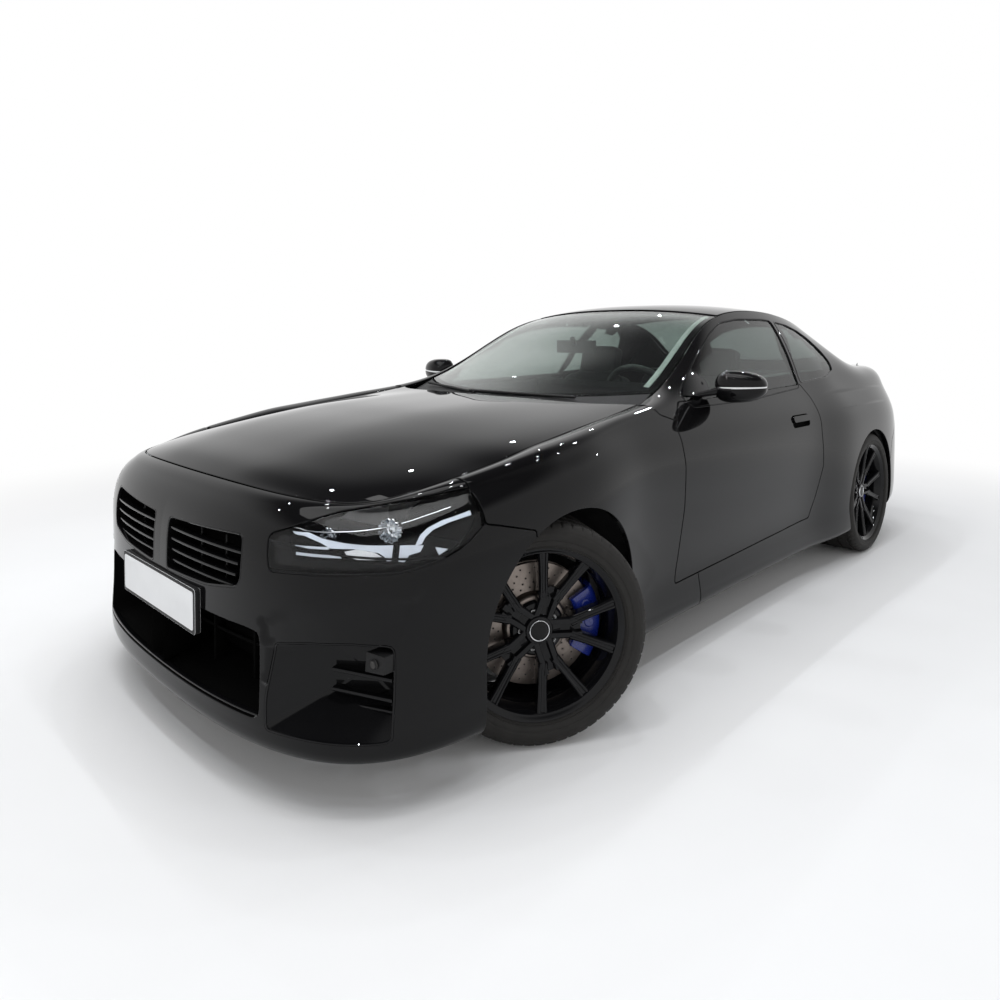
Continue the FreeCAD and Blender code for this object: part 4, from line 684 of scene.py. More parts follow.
def wedgeRelief(places):
    result = np.zeros_like(places)
    wide, high = abs(places[:, 0]), places[:, 2]
    front = places[:, 1] < -1.80
    for face in wedgeFaces:
        (x0, z0, h0), (x1, z1, h1), (x2, z2, h2) = (wedgeNodes[k] for k in face)
        det = (z1 - z2) * (x0 - x2) + (x2 - x1) * (z0 - z2)
        a = ((z1 - z2) * (wide - x2) + (x2 - x1) * (high - z2)) / det
        b = ((z2 - z0) * (wide - x2) + (x0 - x2) * (high - z2)) / det
        c = 1 - a - b
        hit = front & (a >= 0) & (b >= 0) & (c >= 0)
        depth = np.where(hit, a * h0 + b * h1 + c * h2, 0)[:, None]
        result = np.where(hit[:, None], depth * np.array([-.5, .86, -.05]), result)
    return result


# Finishes and other node trees
def wired(tree, kinds, settings, wires):
    # nodes by name, their settings, and wires such as "noise.Fac > mix.Factor"
    nodes = {name: tree.nodes.new(kind) if isinstance(kind, str) else kind
             for name, kind in kinds.items()}
    for name, values in settings.items():
        for key, value in values.items():
            if isinstance(key, str) and key[0].islower():
                setattr(nodes[name], key, value)
            else:
                nodes[name].inputs[key].default_value = value
    for wire in wires:
        (source, out), (target, into) = (
            [int(part) if part.isdigit() else part for part in end.split(".")]
            for end in wire.split(" > "))
        tree.links.new(nodes[source].outputs[out], nodes[target].inputs[into])
    return nodes


def socketsOn(tree, side, kinds):
    for label, kind in kinds.items():
        tree.interface.new_socket(label, in_out=side, socket_type="NodeSocket" + kind)


def grainGroup():
    # blotchy colour, roughness and bump at two scales, in the object's own coordinates
    tree = bpy.data.node_groups.new("grain", "ShaderNodeTree")
    socketsOn(tree, "INPUT", {"Dark": "Color", "Light": "Color", "Scale": "Float",
                              "Fine": "Float", "Smooth": "Float", "Rough": "Float",
                              "Depth": "Float"})
    socketsOn(tree, "OUTPUT", {"Colour": "Color", "Roughness": "Float", "Normal": "Vector"})
    wired(tree, {"source": "NodeGroupInput", "target": "NodeGroupOutput",
                 "place": "ShaderNodeTexCoord", "broad": "ShaderNodeTexNoise",
                 "fine": "ShaderNodeTexNoise", "mix": "ShaderNodeMix",
                 "span": "ShaderNodeMapRange", "bump": "ShaderNodeBump"},
          {"broad": {"Detail": 4}, "fine": {"Detail": 2}, "mix": {"data_type": "RGBA"},
           "span": {"From Min": .3, "From Max": .7}, "bump": {"Strength": 1}},
          ("place.Object > broad.Vector", "place.Object > fine.Vector",
           "source.Scale > broad.Scale", "source.Fine > fine.Scale", "broad.Fac > mix.Factor",
           "source.Dark > mix.6", "source.Light > mix.7", "fine.Fac > span.Value",
           "source.Smooth > span.To Min", "source.Rough > span.To Max",
           "fine.Fac > bump.Height", "source.Depth > bump.Distance", "mix.2 > target.Colour",
           "span.Result > target.Roughness", "bump.Normal > target.Normal"))
    return tree


grain = grainGroup()


def finish(name, dark, light, rough, scale=6, fine=400, depth=0, **sockets):
    material = bpy.data.materials.new(name)
    material.use_nodes = True
    material.node_tree.nodes.clear()
    wires = ["look.Colour > shader.Base Color", "look.Roughness > shader.Roughness",
             "shader.BSDF > output.Surface"] + ["look.Normal > shader.Normal"] * bool(depth)
    wired(material.node_tree,
          {"output": "ShaderNodeOutputMaterial", "shader": "ShaderNodeBsdfPrincipled",
           "look": "ShaderNodeGroup"},
          {"look": {"node_tree": grain, "Dark": (*dark, 1), "Light": (*light, 1),
                    "Scale": scale, "Fine": fine, "Smooth": rough[0], "Rough": rough[1],
                    "Depth": depth},
           "shader": {label.replace("_", " "): value for label, value in sockets.items()}},
          wires)
    return material


def shaderAndOutput(material):
    nodes = material.node_tree.nodes
    return {"shader": next(n for n in nodes if n.type == "BSDF_PRINCIPLED"),
            "output": next(n for n in nodes if n.type == "OUTPUT_MATERIAL")}


def glassFinish(name, tint, clear, dusty=.02, index=1.45):
    # clear glass with a faint tint; lamps shine through it
    material = finish(name, tint, clear, (dusty * .6, dusty), 2.4, 60,
                      Transmission_Weight=1, IOR=index)
    wired(material.node_tree,
          {**shaderAndOutput(material), "rays": "ShaderNodeLightPath",
           "clear": "ShaderNodeBsdfTransparent", "mix": "ShaderNodeMixShader"},
          {"clear": {"Color": (*clear, 1)}},
          ("rays.Is Shadow Ray > mix.Fac", "shader.BSDF > mix.1", "clear.BSDF > mix.2",
           "mix.Shader > output.Surface"))
    return material


# Each finish: dark and light colour, roughness span, broad and fine scale, relief depth
gloss = {"Coat_Weight": 1, "Coat_Roughness": .012, "Coat_IOR": 1.28, "Specular_IOR_Level": 0}
satin = {"Specular_IOR_Level": .25}
paint = finish("bodyPaint", (.0026, .0026, .003), (.004, .0038, .004), (.3, .4), 3, 90, **gloss)
trimGloss = finish("trimGloss", (.003, .003, .0034), (.005, .005, .0055), (.2, .3), 8, 160,
                   **gloss)
trimMatt = finish("trimMatt", (.006, .006, .0065), (.011, .011, .011), (.45, .6), 20, 900,
                  .00008, **satin)
# near-lightless black with almost no reflection: the own colour of black lamp housings, lamp masks
# and glass edges, and painted shade where it closes the nose openings and the handle recess
blackAndPaintedShade = finish("deepBlackAndPaintedShade", (.0012, .0012, .0012), (.0022, .0022, .0022), (.8, .95), 20, 600,
              Specular_IOR_Level=.05)
lining = finish("lining", (.007, .007, .007), (.014, .0135, .013), (.75, .95), 30, 700, .0004,
                **satin)
rubber = finish("rubber", (.0125, .0118, .011), (.021, .0195, .018), (.6, .8), 25, 900, .00012,
                **satin)
rimPaint = finish("rimPaint", (.0035, .0035, .004), (.006, .006, .007), (.2, .3), 14, 300,
                  Coat_Weight=1, Coat_Roughness=.03, Coat_IOR=1.30, Specular_IOR_Level=0)
steel = finish("discSteel", (.17, .145, .13), (.27, .235, .21), (.3, .45), 60, 900, .00003,
               Metallic=1)
darkSteel = finish("darkSteel", (.05, .05, .05), (.10, .095, .09), (.4, .65), 30, 500, .0001,
                   Metallic=.8)
caliperPaint = finish("caliperPaint", (.004, .011, .13), (.007, .02, .20), (.2, .32), 20, 400,
                      Coat_Weight=.5, Coat_IOR=1.4)
alloy = finish("alloy", (.30, .30, .31), (.48, .48, .49), (.35, .55), 40, 500, .0001,
               Metallic=.9)
bright = finish("bright", (.62, .63, .65), (.78, .79, .80), (.08, .18), 30, 400, Metallic=1)
mirrorSilver = finish("mirrorSilver", (.70, .72, .74), (.74, .76, .78), (.01, .02), 3, 20,
                      Metallic=1)
lightGuide = finish("lightGuide", (.52, .56, .62), (.66, .70, .76), (.12, .2), 30, 300,
                    Coat_Weight=.6)
screenGlass = glassFinish("screenGlass", (.66, .74, .70), (.74, .81, .77))
darkGlass = glassFinish("darkGlass", (.22, .26, .25), (.28, .33, .31), index=1.33)
lampGlass = glassFinish("lampGlass", (.90, .92, .94), (.95, .96, .97), .012, index=1.25)
leather = finish("leather", (.010, .0098, .0098), (.019, .018, .0175), (.38, .55), 18, 700,
                 .0003, **satin)
cabinTrim = finish("cabinTrim", (.009, .009, .009), (.016, .016, .016), (.55, .75), 24, 1100,
                   .00015, **satin)
pillarTrim = finish("pillarTrim", (.22, .22, .215), (.30, .30, .295), (.6, .8), 24, 900, .0001)
redLens = finish("redLens", (.15, .001, .0015), (.24, .002, .003), (.2, .3), 10, 200,
                 **gloss)
platePaint = finish("plateBlank", (.70, .71, .72), (.78, .79, .80), (.28, .4), 12, 500)


def floorFinishMade():
    # pale floor that turns into plain white further out
    material = finish("floor", (.82, .82, .82), (.86, .86, .86), (.6, .7), 1.5, 30,
                      Specular_IOR_Level=.1)
    wired(material.node_tree,
          {**shaderAndOutput(material), "place": "ShaderNodeTexCoord",
           "length": "ShaderNodeVectorMath", "span": "ShaderNodeMapRange",
           "white": "ShaderNodeEmission", "mix": "ShaderNodeMixShader",
           "rays": "ShaderNodeLightPath", "seen": "ShaderNodeMath", "both": "ShaderNodeMath",
           "share": "ShaderNodeMath"},
          {"length": {"operation": "LENGTH"},
           "span": {"interpolation_type": "SMOOTHSTEP", "From Min": 2.6, "From Max": 5.5},
           "white": {"Strength": 1}, "seen": {"operation": "ADD"},
           "both": {"operation": "ADD", "use_clamp": True},
           "share": {"operation": "MULTIPLY"}},
          ("rays.Is Camera Ray > seen.0", "rays.Is Glossy Ray > seen.1", "seen.0 > both.0",
           "rays.Is Transmission Ray > both.1", "place.Object > length.0",
           "length.Value > span.Value", "span.Result > share.0", "both.0 > share.1",
           "share.0 > mix.Fac", "shader.BSDF > mix.1", "white.Emission > mix.2",
           "mix.Shader > output.Surface"))
    return material


finishOf = {
    "window_glass": screenGlass, "tyre_rubber": rubber, "rim_paint": rimPaint,
    "brake_steel": steel, "caliper_paint": caliperPaint, "lamp_lens": lampGlass,
    "tail_lens": redLens, "black_plastic": trimMatt, "seat_leather": leather,
    "cabin_trim": cabinTrim, "engine_alloy": alloy, "exhaust_steel": darkSteel,
    "chassis_steel": darkSteel, "body_paint": paint}
for node in frame["nodes"].values():
    for slot in node.material_slots:
        if slot.material is not None:
            known = [kind for kind in finishOf if slot.material.name.startswith(kind)]
            slot.material = finishOf[known[0]] if known else trimMatt

report("finishes")


def pieceOn(body, made, *replaced, slot="body_paint"):
    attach(made, body)
    if replaced:
        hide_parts(*replaced)
    return made


# Turned and drawn-out forms
def turnsOf(count):
    return np.linspace(0, 2 * math.pi, count, endpoint=False)


def ringFaces(total, count, looped=False):
    # quads between each ring of places and the next
    return [(i * count + j, i * count + (j + 1) % count,
             (i + 1) % total * count + (j + 1) % count, (i + 1) % total * count + j)
            for i in range(total if looped else total - 1) for j in range(count)]


def turned(profile, steps, closed=True):
    # outline of (along the axle, radius) turned about the axle
    profile = np.asarray(profile, float)
    turns = turnsOf(steps)
    count = len(profile)
    verts = np.stack([np.repeat(profile[None, :, 0], steps, 0),
                      np.cos(turns)[:, None] * profile[None, :, 1],
                      np.sin(turns)[:, None] * profile[None, :, 1]], -1).reshape(-1, 3)
    # an open outline has no quads from its end back to its start
    return verts, [(a, d, c, b) for a, b, c, d in ringFaces(steps, count, True)
                   if closed or b > a]


def drawn(sections):
    # closed cross sections (lists of 3-D points) joined one after another, ends closed
    total, count = len(sections), len(sections[0])
    faces = ringFaces(total, count)
    faces.append(tuple(range(count))[::-1])
    faces.append(tuple((total - 1) * count + j for j in range(count)))
    return np.vstack(sections), faces


def joinedMesh(name, groups):
    # groups of (verts, faces, material)
    verts, faces, owners, materials, base = [], [], [], [], 0
    for points, polygons, material in groups:
        if material not in materials:
            materials.append(material)
        verts.append(np.asarray(points, float))
        faces += [tuple(int(k) + base for k in face) for face in polygons]
        owners += [materials.index(material)] * len(polygons)
        base += len(points)
    mesh = bpy.data.meshes.new(name)
    mesh.from_pydata([tuple(v) for v in np.vstack(verts)], [], faces)
    for material in materials:
        mesh.materials.append(material)
    mesh.polygons.foreach_set("material_index", owners)
    mesh.update()
    return mesh


def tidyMesh(mesh, bevel=None, segments=2, angle=35):
    # recalculated outward, with its sharp edges rounded where a bevel is given
    work = bmesh.new()
    work.from_mesh(mesh)
    bmesh.ops.recalc_face_normals(work, faces=work.faces)
    if bevel:
        sharp = [e for e in work.edges if len(e.link_faces) == 2
                 and e.calc_face_angle(0) > math.radians(angle)]
        bmesh.ops.bevel(work, geom=sharp, offset=bevel, segments=segments, profile=.6,
                        affect="EDGES", clamp_overlap=True)
    for face in work.faces:
        face.smooth = True
    for edge in work.edges:
        edge.smooth = not (len(edge.link_faces) == 2
                           and edge.calc_face_angle(0) > math.radians(angle))
    work.to_mesh(mesh)
    work.free()
    mesh.update()
    return mesh


def pieceOf(name, groups, body, *replaced, slot="body_paint", **options):
    # one piece on a body, made of groups of (verts, faces, material)
    mesh = tidyMesh(joinedMesh(name, groups), **options)
    return pieceOn(body, objectOf(name, mesh), *replaced, slot=slot)


def spokeBar(stations, groove=0):
    # along +Y; stations of (radial, across, face reach, width, depth, heading in degrees)
    sections = []
    for radial, across, face, width, depth, heading in stations:
        turn = math.radians(heading)
        side = np.array([0, -math.sin(turn), math.cos(turn)])
        half, cut = width / 2, min(.005, width / 5)
        outline = [(-half, -depth), (-half, -cut), (-half + cut, 0)]
        if groove:
            lip = half * .42
            outline += [(-lip, 0), (-lip + .003, -groove), (lip - .003, -groove), (lip, 0)]
        outline += [(half - cut, 0), (half, -cut), (half, -depth)]
        middle = np.array([face, radial, across])
        sections.append(np.array([middle + side * y + [x, 0, 0] for y, x in outline]))
    return drawn(sections)


wheelSizes = {
    "front": {"tyre": .3375, "width": .275, "rim": .259, "disc": .190},
    "rear": {"tyre": .3395, "width": .285, "rim": .2715, "disc": .185}}
# forked spokes: a fork starts at (radius, half gap) and opens by degrees to both sides
rimSizes = {"spokes": 5, "face": .084, "fork": (.098, .019), "spread": 17, "width": .031,
            "depth": .040, "groove": .016, "forkGroove": .003}
boltSizes = {"circle": .056, "radius": .0115}
# widths of the tread's cuts are shares of a block
treadSizes = {"steps": 480, "blocks": 60, "gapShare": .13, "gapDepth": .0055,
              "sipeShare": .12, "sipeDepth": .003}
discSizes = {"offset": .028, "wall": .032, "bell": .092}
drillings = {"rings": 5, "perRing": 24, "edge": .016, "pitch": .015, "shift": .37,
             "radius": .0037, "floor": .0030, "depth": .0006}
# caliper's parts by their angles in degrees about the wheel's centre
caliperSizes = {"reach": 33, "bridges": ((-33, -21), (-6, 6), (21, 33)), "bores": (-19, 0, 19),
                "space": .0054, "inward": .060, "outward": .020, "rimSpace": .040}


def rimMesh(name, sizes):
    rim, half = sizes["rim"], sizes["width"] / 2 - .0145
    barrel = [(-half, rim), (-half + .004, rim + .003), (-half + .012, rim),
              (-half + .02, rim - .012), (-half + .04, rim - .022), (half - .05, rim - .022),
              (half - .02, rim - .012), (half - .012, rim), (half - .005, rim + .004),
              (half, rim + .004), (half + .0015, rim + .001), (half, rim - .004),
              (half - .006, rim - .009), (half - .010, rim - .017), (half - .024, rim - .022),
              (half - .045, rim - .031), (-half + .04, rim - .031), (-half + .012, rim - .022),
              (-half, rim - .010)]
    groups = [(*turned(barrel, 144), rimPaint)]
    hubFace, edgeFace, end = rimSizes["face"], half - .012, rim - .014
    for turn in turnsOf(rimSizes["spokes"]):
        parts = [spokeBar([(.030, 0, hubFace - .002, .066, .04, 0),
                           (.062, 0, hubFace + .003, .064, .038, 0),
                           (.108, 0, hubFace + .008, .066, .036, 0),
                           (.134, 0, hubFace + .010, .056, .034, 0)], rimSizes["groove"])]
        for side in (-1, 1):
            spread = math.radians(rimSizes["spread"]) * side
            tip = np.array([end * math.cos(spread), end * math.sin(spread)])
            start = np.array(rimSizes["fork"]) * [1, side]
            heading = math.degrees(math.atan2(*(tip - start)[::-1]))
            stations = []
            for share in (0, .12, .4, .7, .93, 1.05):
                place = start + (tip - start) * share
                face = hubFace + .009 + (edgeFace - hubFace - .009) * share ** 1.25
                waist = .005 * math.sin(math.pi * min(share, 1))
                stations.append((*place, face, rimSizes["width"] - waist + .005 * share,
                                 rimSizes["depth"] - .012 * share, heading))
            parts.append(spokeBar(stations, rimSizes["forkGroove"]))
        for verts, faces in parts:
            y, z = verts[:, 1].copy(), verts[:, 2].copy()
            verts[:, 1] = y * math.cos(turn) - z * math.sin(turn)
            verts[:, 2] = y * math.sin(turn) + z * math.cos(turn)
            groups.append((verts, faces, rimPaint))
    hub = [(.040, 0), (.040, .080), (hubFace - .022, .086), (hubFace - .013, .078),
           (hubFace - .009, .046), (hubFace + .002, .041), (hubFace + .004, .036),
           (hubFace + .001, .033), (hubFace + .001, 0)]
    groups.append((*turned(hub, 64, closed=False), rimPaint))
    return tidyMesh(joinedMesh(name, groups), bevel=.0012)


def hubMesh(name):
    # plain cap with a ring, and five wheel bolts
    groups = [(*turned([(.085, .0335), (.0885, .0325), (.0905, .0305), (.0895, .0285),
                        (.0875, .0280)], 64), bright),
              (*turned([(.0865, .0285), (.0895, .024), (.0908, .014), (.0912, 0)], 48,
                       closed=False), trimGloss)]
    circle, radius = boltSizes.values()
    for turn in turnsOf(rimSizes["spokes"]) + math.pi / rimSizes["spokes"]:
        verts, faces = turned([(.060, 0), (.060, radius), (.079, radius), (.082, .0095),
                               (.082, .006), (.077, .0055), (.077, 0)], 6, closed=False)
        place = [0, circle * math.cos(turn), circle * math.sin(turn)]
        groups.append((verts + place, faces, darkSteel))
    return tidyMesh(joinedMesh(name, groups), bevel=.0005, segments=1)


def tyreMesh(name, sizes):
    radius, rim, half = sizes["tyre"], sizes["rim"], sizes["width"] / 2
    wall = radius - rim
    sideShare = .988  # of the tyre's half width
    profile, tread = [], []  # tread: 0 plain, 1 shoulder block, 2 rib with sipes

    def add(reach, rise, kind=0):
        profile.append((reach * half, rim + wall * rise))
        tread.append(kind)

    sideWall = ((.905, .005), (.94, .02), (.965, .06), (.955, .10), (.975, .13), (.985, .17),
                (.992, .30), (.992, .315), (.985, .325), (.994, .34), (1, .44), (.998, .56),
                (.990, .64), (.985, .648), (.985, .66), (.963, .74), (.938, .80))
    shoulder = ((.903, .868), (.873, .915), (.845, .945), (.80, .968), (.755, .978))
    for reach, rise in sideWall:
        add(-reach * sideShare, rise)
    for reach, rise in shoulder:
        add(-reach, rise, 1)
    grooves = (-.70, -.28, .28, .70)
    for k, groove in enumerate(grooves):
        crown = .99 if abs(groove) < .5 else .982
        add(groove - .045, crown, 2 if k else 0)
        add(groove - .035, crown - .10)
        add(groove + .035, crown - .10)
        add(groove + .045, crown, 2)
        if k == 1:
            add(0, .998, 2)
    for reach, rise in shoulder[::-1]:
        add(reach, rise, 1)
    for reach, rise in sideWall[::-1]:
        add(reach * sideShare, rise)
    profile, tread = np.array(profile), np.array(tread)
    steps, blocks, gapShare, gapDepth, sipeShare, sipeDepth = treadSizes.values()
    verts, faces = turned(profile, steps)
    turns = np.repeat(np.arange(steps), len(profile))
    kinds = np.tile(tread, steps)
    reach = np.tile(profile[:, 0] / half, steps)
    phase = (turns * blocks / steps + abs(reach) * .8) % 1
    sunk = np.where((kinds == 1) & (phase < gapShare), gapDepth, 0)
    sunk += np.where((kinds == 2) & (abs(phase - .5) < sipeShare / 2), sipeDepth, 0)
    across = np.hypot(verts[:, 1], verts[:, 2])
    scale = (across - sunk) / across
    verts[:, 1] *= scale
    verts[:, 2] *= scale
    return tidyMesh(joinedMesh(name, [(verts, faces, rubber)]), angle=50)


def holeField(outer, face):
    # shallow drillings on the outer face of a brake disc, coloured near-black: painted shade in
    # place of deep holes
    rings, perRing, edge, pitch, shift, wide, narrow, depth = drillings.values()
    groups = []
    for ring in range(rings):
        radius = outer - edge - pitch * ring
        for k in range(perRing):
            turn = 2 * math.pi * (k + ring * shift) / perRing
            verts, faces = turned([(face, wide), (face + depth, narrow), (face + depth, 0)],
                                  12, closed=False)
            place = [0, radius * math.cos(turn), radius * math.sin(turn)]
            groups.append((verts + place, faces, trimMatt))
    return groups


def discMesh(name, sizes):
    outer, (offset, wall, bell) = sizes["disc"], discSizes.values()
    half = wall / 2
    profile = [(offset, outer - .001), (offset - .001, outer), (offset - .010, outer),
               (offset - .011, outer - .004), (offset - wall + .011, outer - .004),
               (offset - wall + .010, outer), (offset - wall + .001, outer),
               (offset - wall, outer - .001), (offset - wall, bell + .012),
               (offset - half, bell + .006), (.046, bell), (.050, bell - .004),
               (.052, .040), (.052, .030), (.056, .030), (.056, bell), (.051, bell + .006),
               (offset + .001, bell + .010), (offset, bell + .016)]
    groups = [(*turned(profile, 120), steel)]
    groups += holeField(outer, offset + .0002)
    return tidyMesh(joinedMesh(name, groups), bevel=.0006, segments=1)


def caliperMesh(name, sizes):
    # two halves over the rear edge of the disc, joined by bridges, with bores outside
    outer, offset, wall = sizes["disc"], discSizes["offset"], discSizes["wall"]
    reach, bridges, bores, space, inward, outward, rimSpace = caliperSizes.values()
    inner, top = outer - inward, min(outer + outward, sizes["rim"] - rimSpace)
    faceOut, faceIn = offset + space + .022, offset - wall - space - .030

    def sector(outline, low, high, steps=16):
        return drawn([np.array([[x, r * math.cos(turn), r * math.sin(turn)]
                                for x, r in outline])
                      for turn in np.radians(np.linspace(low, high, steps))])

    def half(back, face, way):
        return [(back, inner), (face - .006 * way, inner + .002), (face, inner + .010),
                (face, top - .016), (face - .008 * way, top - .002), (back, top)][::way]
    outside, within = offset + space, offset - wall - space
    bridge = [(outside + .004, outer + .006), (outside + .004, top + .002),
              (within - .004, top + .002), (within - .004, outer + .006)]
    groups = [(*sector(outline, -reach, reach), caliperPaint)
              for outline in (half(outside, faceOut, 1), half(within, faceIn, -1))]
    groups += [(*sector(bridge, *span, 8), caliperPaint) for span in bridges]
    for turn in bores:
        verts, faces = turned([(faceOut - .004, .017), (faceOut + .0025, .016),
                               (faceOut + .003, .010), (faceOut + .001, 0)], 32, closed=False)
        at = math.radians(turn)
        radius = (inner + top) / 2
        groups.append((verts + np.array([0, radius * math.cos(at), radius * math.sin(at)]),
                       faces, caliperPaint))
    return tidyMesh(joinedMesh(name, groups), bevel=.003, segments=3)


# wheel centres; a front wheel also turns about a pin that stands inward of it
wheelPlaces = {"front": .735, "arm": .0625, "rear": .7925}
frontTurn = Matrix.Rotation(math.radians(-31.86), 4, "Z")
halfTurn = Matrix.Rotation(math.pi, 4, "Z")


def wheelMatrix(corner):
    side, facing = (1, Matrix()) if corner[1] == "l" else (-1, halfTurn)
    if corner[0] == "r":
        return Matrix.Translation((side * wheelPlaces["rear"], rearAxle,
                                   wheelSizes["rear"]["tyre"])) @ facing
    pin = Matrix.Translation((side * wheelPlaces["front"], frontAxle,
                              wheelSizes["front"]["tyre"]))
    return pin @ frontTurn @ Matrix.Translation((side * wheelPlaces["arm"], 0, 0)) @ facing


overturned = Matrix.Rotation(math.pi, 4, "X")
for axle, corners in (("front", ("fl", "fr")), ("rear", ("rl", "rr"))):
    sizes = wheelSizes[axle]
    meshes = {"tyre": tyreMesh("tyre_" + axle, sizes), "rim": rimMesh("rim_" + axle, sizes),
              "hub": hubMesh("hub_" + axle), "disc": discMesh("disc_" + axle, sizes)}
    caliper = caliperMesh("caliper_" + axle, sizes)
    for corner in corners:
        matrix = wheelMatrix(corner)
        for kind, slot in (("tyre", "tyre_rubber"), ("rim", "rim_paint"), ("hub", "rim_paint"),
                           ("disc", "brake_steel")):
            made = objectOf(kind + "Look_" + corner, meshes[kind], None, matrix)
            replaced = () if kind == "hub" else (kind + "_" + corner,)
            pieceOn("wheel_" + corner, made, *replaced, slot=slot)
        turn = Matrix() if corner[1] == "l" else overturned
        made = objectOf("caliperLook_" + corner, caliper, None, matrix @ turn)
        body, *replaced = {"fl": ("knuckle_left", "front_caliper_left"),
                           "fr": ("knuckle_right", "front_caliper_right"),
                           "rl": ("root", "rear_calipers"), "rr": ("root",)}[corner]
        pieceOn(body, made, *replaced, slot="caliper_paint")
report("wheels")


# Bars, ducts and small forms set on the sheets
def placesOn(sheet, uv, depth=0):
    normals = unit(np.cross(*sheet.slopes(uv, False)))
    return sheet.lifted(uv) - normals * depth, normals


def barAlong(sheet, line, width, height, depth, closed=False, step=.006):
    # rectangular bar that follows (u, v) points on a sheet; height lies in the surface
    uv = np.asarray(line, float)
    places = sheet.plain(uv)
    if closed:
        uv, places = np.vstack([uv, uv[:1]]), np.vstack([places, places[:1]])
    run = runAlong(places)
    count = max(3, int(run[-1] / step))
    at = np.linspace(0, run[-1], count, endpoint=not closed)
    uv = np.stack([np.interp(at, run, uv[:, k]) for k in (0, 1)], 1)
    places, normals = placesOn(sheet, uv, depth)
    if closed:
        heading = np.roll(places, -1, 0) - np.roll(places, 1, 0)
    else:
        heading = np.gradient(places, axis=0)
    across = unit(np.cross(normals, unit(heading)))
    cut = min(width, height) * .25
    corners = [(-.5 * height + cut, .5 * width), (.5 * height - cut, .5 * width),
               (.5 * height, .5 * width - cut), (.5 * height, -.5 * width),
               (-.5 * height, -.5 * width), (-.5 * height, .5 * width - cut)]
    rings = np.stack([places + across * a + normals * b for a, b in corners], 1)
    if not closed:
        return drawn(list(rings))
    return rings.reshape(-1, 3), ringFaces(count, len(corners), True)


def mirrored(groups):
    return [(np.asarray(verts) * [-1, 1, 1], [tuple(face)[::-1] for face in faces], material)
            for verts, faces, material in groups]


def bothHalves(groups):
    return [group for pair in zip(groups, mirrored(groups)) for group in pair]


def chainOf(shape, sheet, uLimit=.5):
    # the shape's longest run of (u, v) places on one half of the body
    runs = [run for run in shape.chains(sheet) if run[:, 0].mean() < uLimit]
    return max(runs, key=len)


def closedBy(rings):
    # rings of places joined one after another, the last closed by a fan
    total, count = len(rings), len(rings[0])
    last = (total - 1) * count
    faces = ringFaces(total, count)
    faces += [(last + j, last + (j + 1) % count, total * count) for j in range(count)]
    return np.vstack(rings + [rings[-1].mean(0)[None]]), faces


def ductFrom(sheet, line, back, depth=.002, steps=5):
    # walls from an opening's edge to a set-back outline, closed by a rear wall
    front = placesOn(sheet, line, depth)[0]
    low, high = front.min(0), front.max(0)
    shareX = (front[:, 0] - low[0]) / (high[0] - low[0])
    shareZ = (front[:, 2] - low[2]) / (high[2] - low[2])
    x0, x1, z0, z1, y0, y1 = back
    rear = np.stack([x0 + (x1 - x0) * shareX, y0 + (y1 - y0) * shareX,
                     z0 + (z1 - z0) * shareZ], 1)
    rings = [front + (rear - front) * share for share in np.linspace(0, 1, steps)]
    return closedBy(rings)


def sweepTree():
    # bars with a rounded rectangular section along the edges of a wire mesh
    tree = bpy.data.node_groups.new("barsAlongLines", "GeometryNodeTree")
    socketsOn(tree, "INPUT", {"Geometry": "Geometry", "Depth": "Float", "Height": "Float",
                              "Corner": "Float", "Material": "Material"})
    socketsOn(tree, "OUTPUT", {"Geometry": "Geometry"})
    wired(tree, {"source": "NodeGroupInput", "target": "NodeGroupOutput",
                 "lines": "GeometryNodeMeshToCurve", "upright": "GeometryNodeSetCurveNormal",
                 "section": "GeometryNodeCurvePrimitiveQuadrilateral",
                 "fillet": "GeometryNodeFilletCurve", "swept": "GeometryNodeCurveToMesh",
                 "real": "GeometryNodeRealizeInstances", "coated": "GeometryNodeSetMaterial"},
          {"upright": {"mode": "Z_UP"}, "fillet": {"mode": "POLY", "Count": 2},
           "swept": {"Fill Caps": True}},
          ("source.Geometry > lines.Mesh", "lines.Curve > upright.Curve",
           "source.Depth > section.Width", "source.Height > section.Height",
           "section.Curve > fillet.Curve", "source.Corner > fillet.Radius",
           "upright.Curve > swept.Curve", "fillet.Curve > swept.Profile Curve",
           "swept.Mesh > real.Geometry", "real.Geometry > coated.Geometry",
           "source.Material > coated.Material", "coated.Geometry > target.Geometry"))
    return tree


def grown(name, mesh, tree, **values):
    # the tree's result as a plain mesh
    holder = bpy.data.objects.new(name, mesh)
    bpy.context.scene.collection.objects.link(holder)
    modifier = holder.modifiers.new("grown", "NODES")
    modifier.node_group = tree
    for item in tree.interface.items_tree:
        if item.in_out == "INPUT" and item.name in values:
            modifier[item.identifier] = values[item.name]
    bpy.context.view_layer.update()
    view = holder.evaluated_get(bpy.context.evaluated_depsgraph_get())
    result = bpy.data.meshes.new_from_object(view)
    holder.modifiers.clear()
    bpy.data.objects.remove(holder)
    result.name = name
    return result


def wireMesh(name, lines):
    points, edges, base = [], [], 0
    for line in lines:
        points += [tuple(map(float, p)) for p in line]
        edges += [(base + k, base + k + 1) for k in range(len(line) - 1)]
        base += len(line)
    mesh = bpy.data.meshes.new(name)
    mesh.from_pydata(points, edges, [])
    return mesh


def meshArrays(mesh):
    return (np.array([tuple(v.co) for v in mesh.vertices]),
            [tuple(p.vertices) for p in mesh.polygons])


barTree = sweepTree()


def sweptBars(name, lines, depth, height, corner, material):
    return (*meshArrays(grown(name, wireMesh(name, lines), barTree, Depth=depth,
                              Height=height, Corner=corner, Material=material)), material)


def frontPlaces(widths, levels, inset):
    # places behind the front skin at given widths and heights
    targets = np.stack([np.asarray(widths, float), np.broadcast_to(levels, (len(widths),))], 1)
    places = sideSheet.plain(sideSheet.find(targets, frontPlane, -1)[0])
    places[:, 1] += inset
    return places


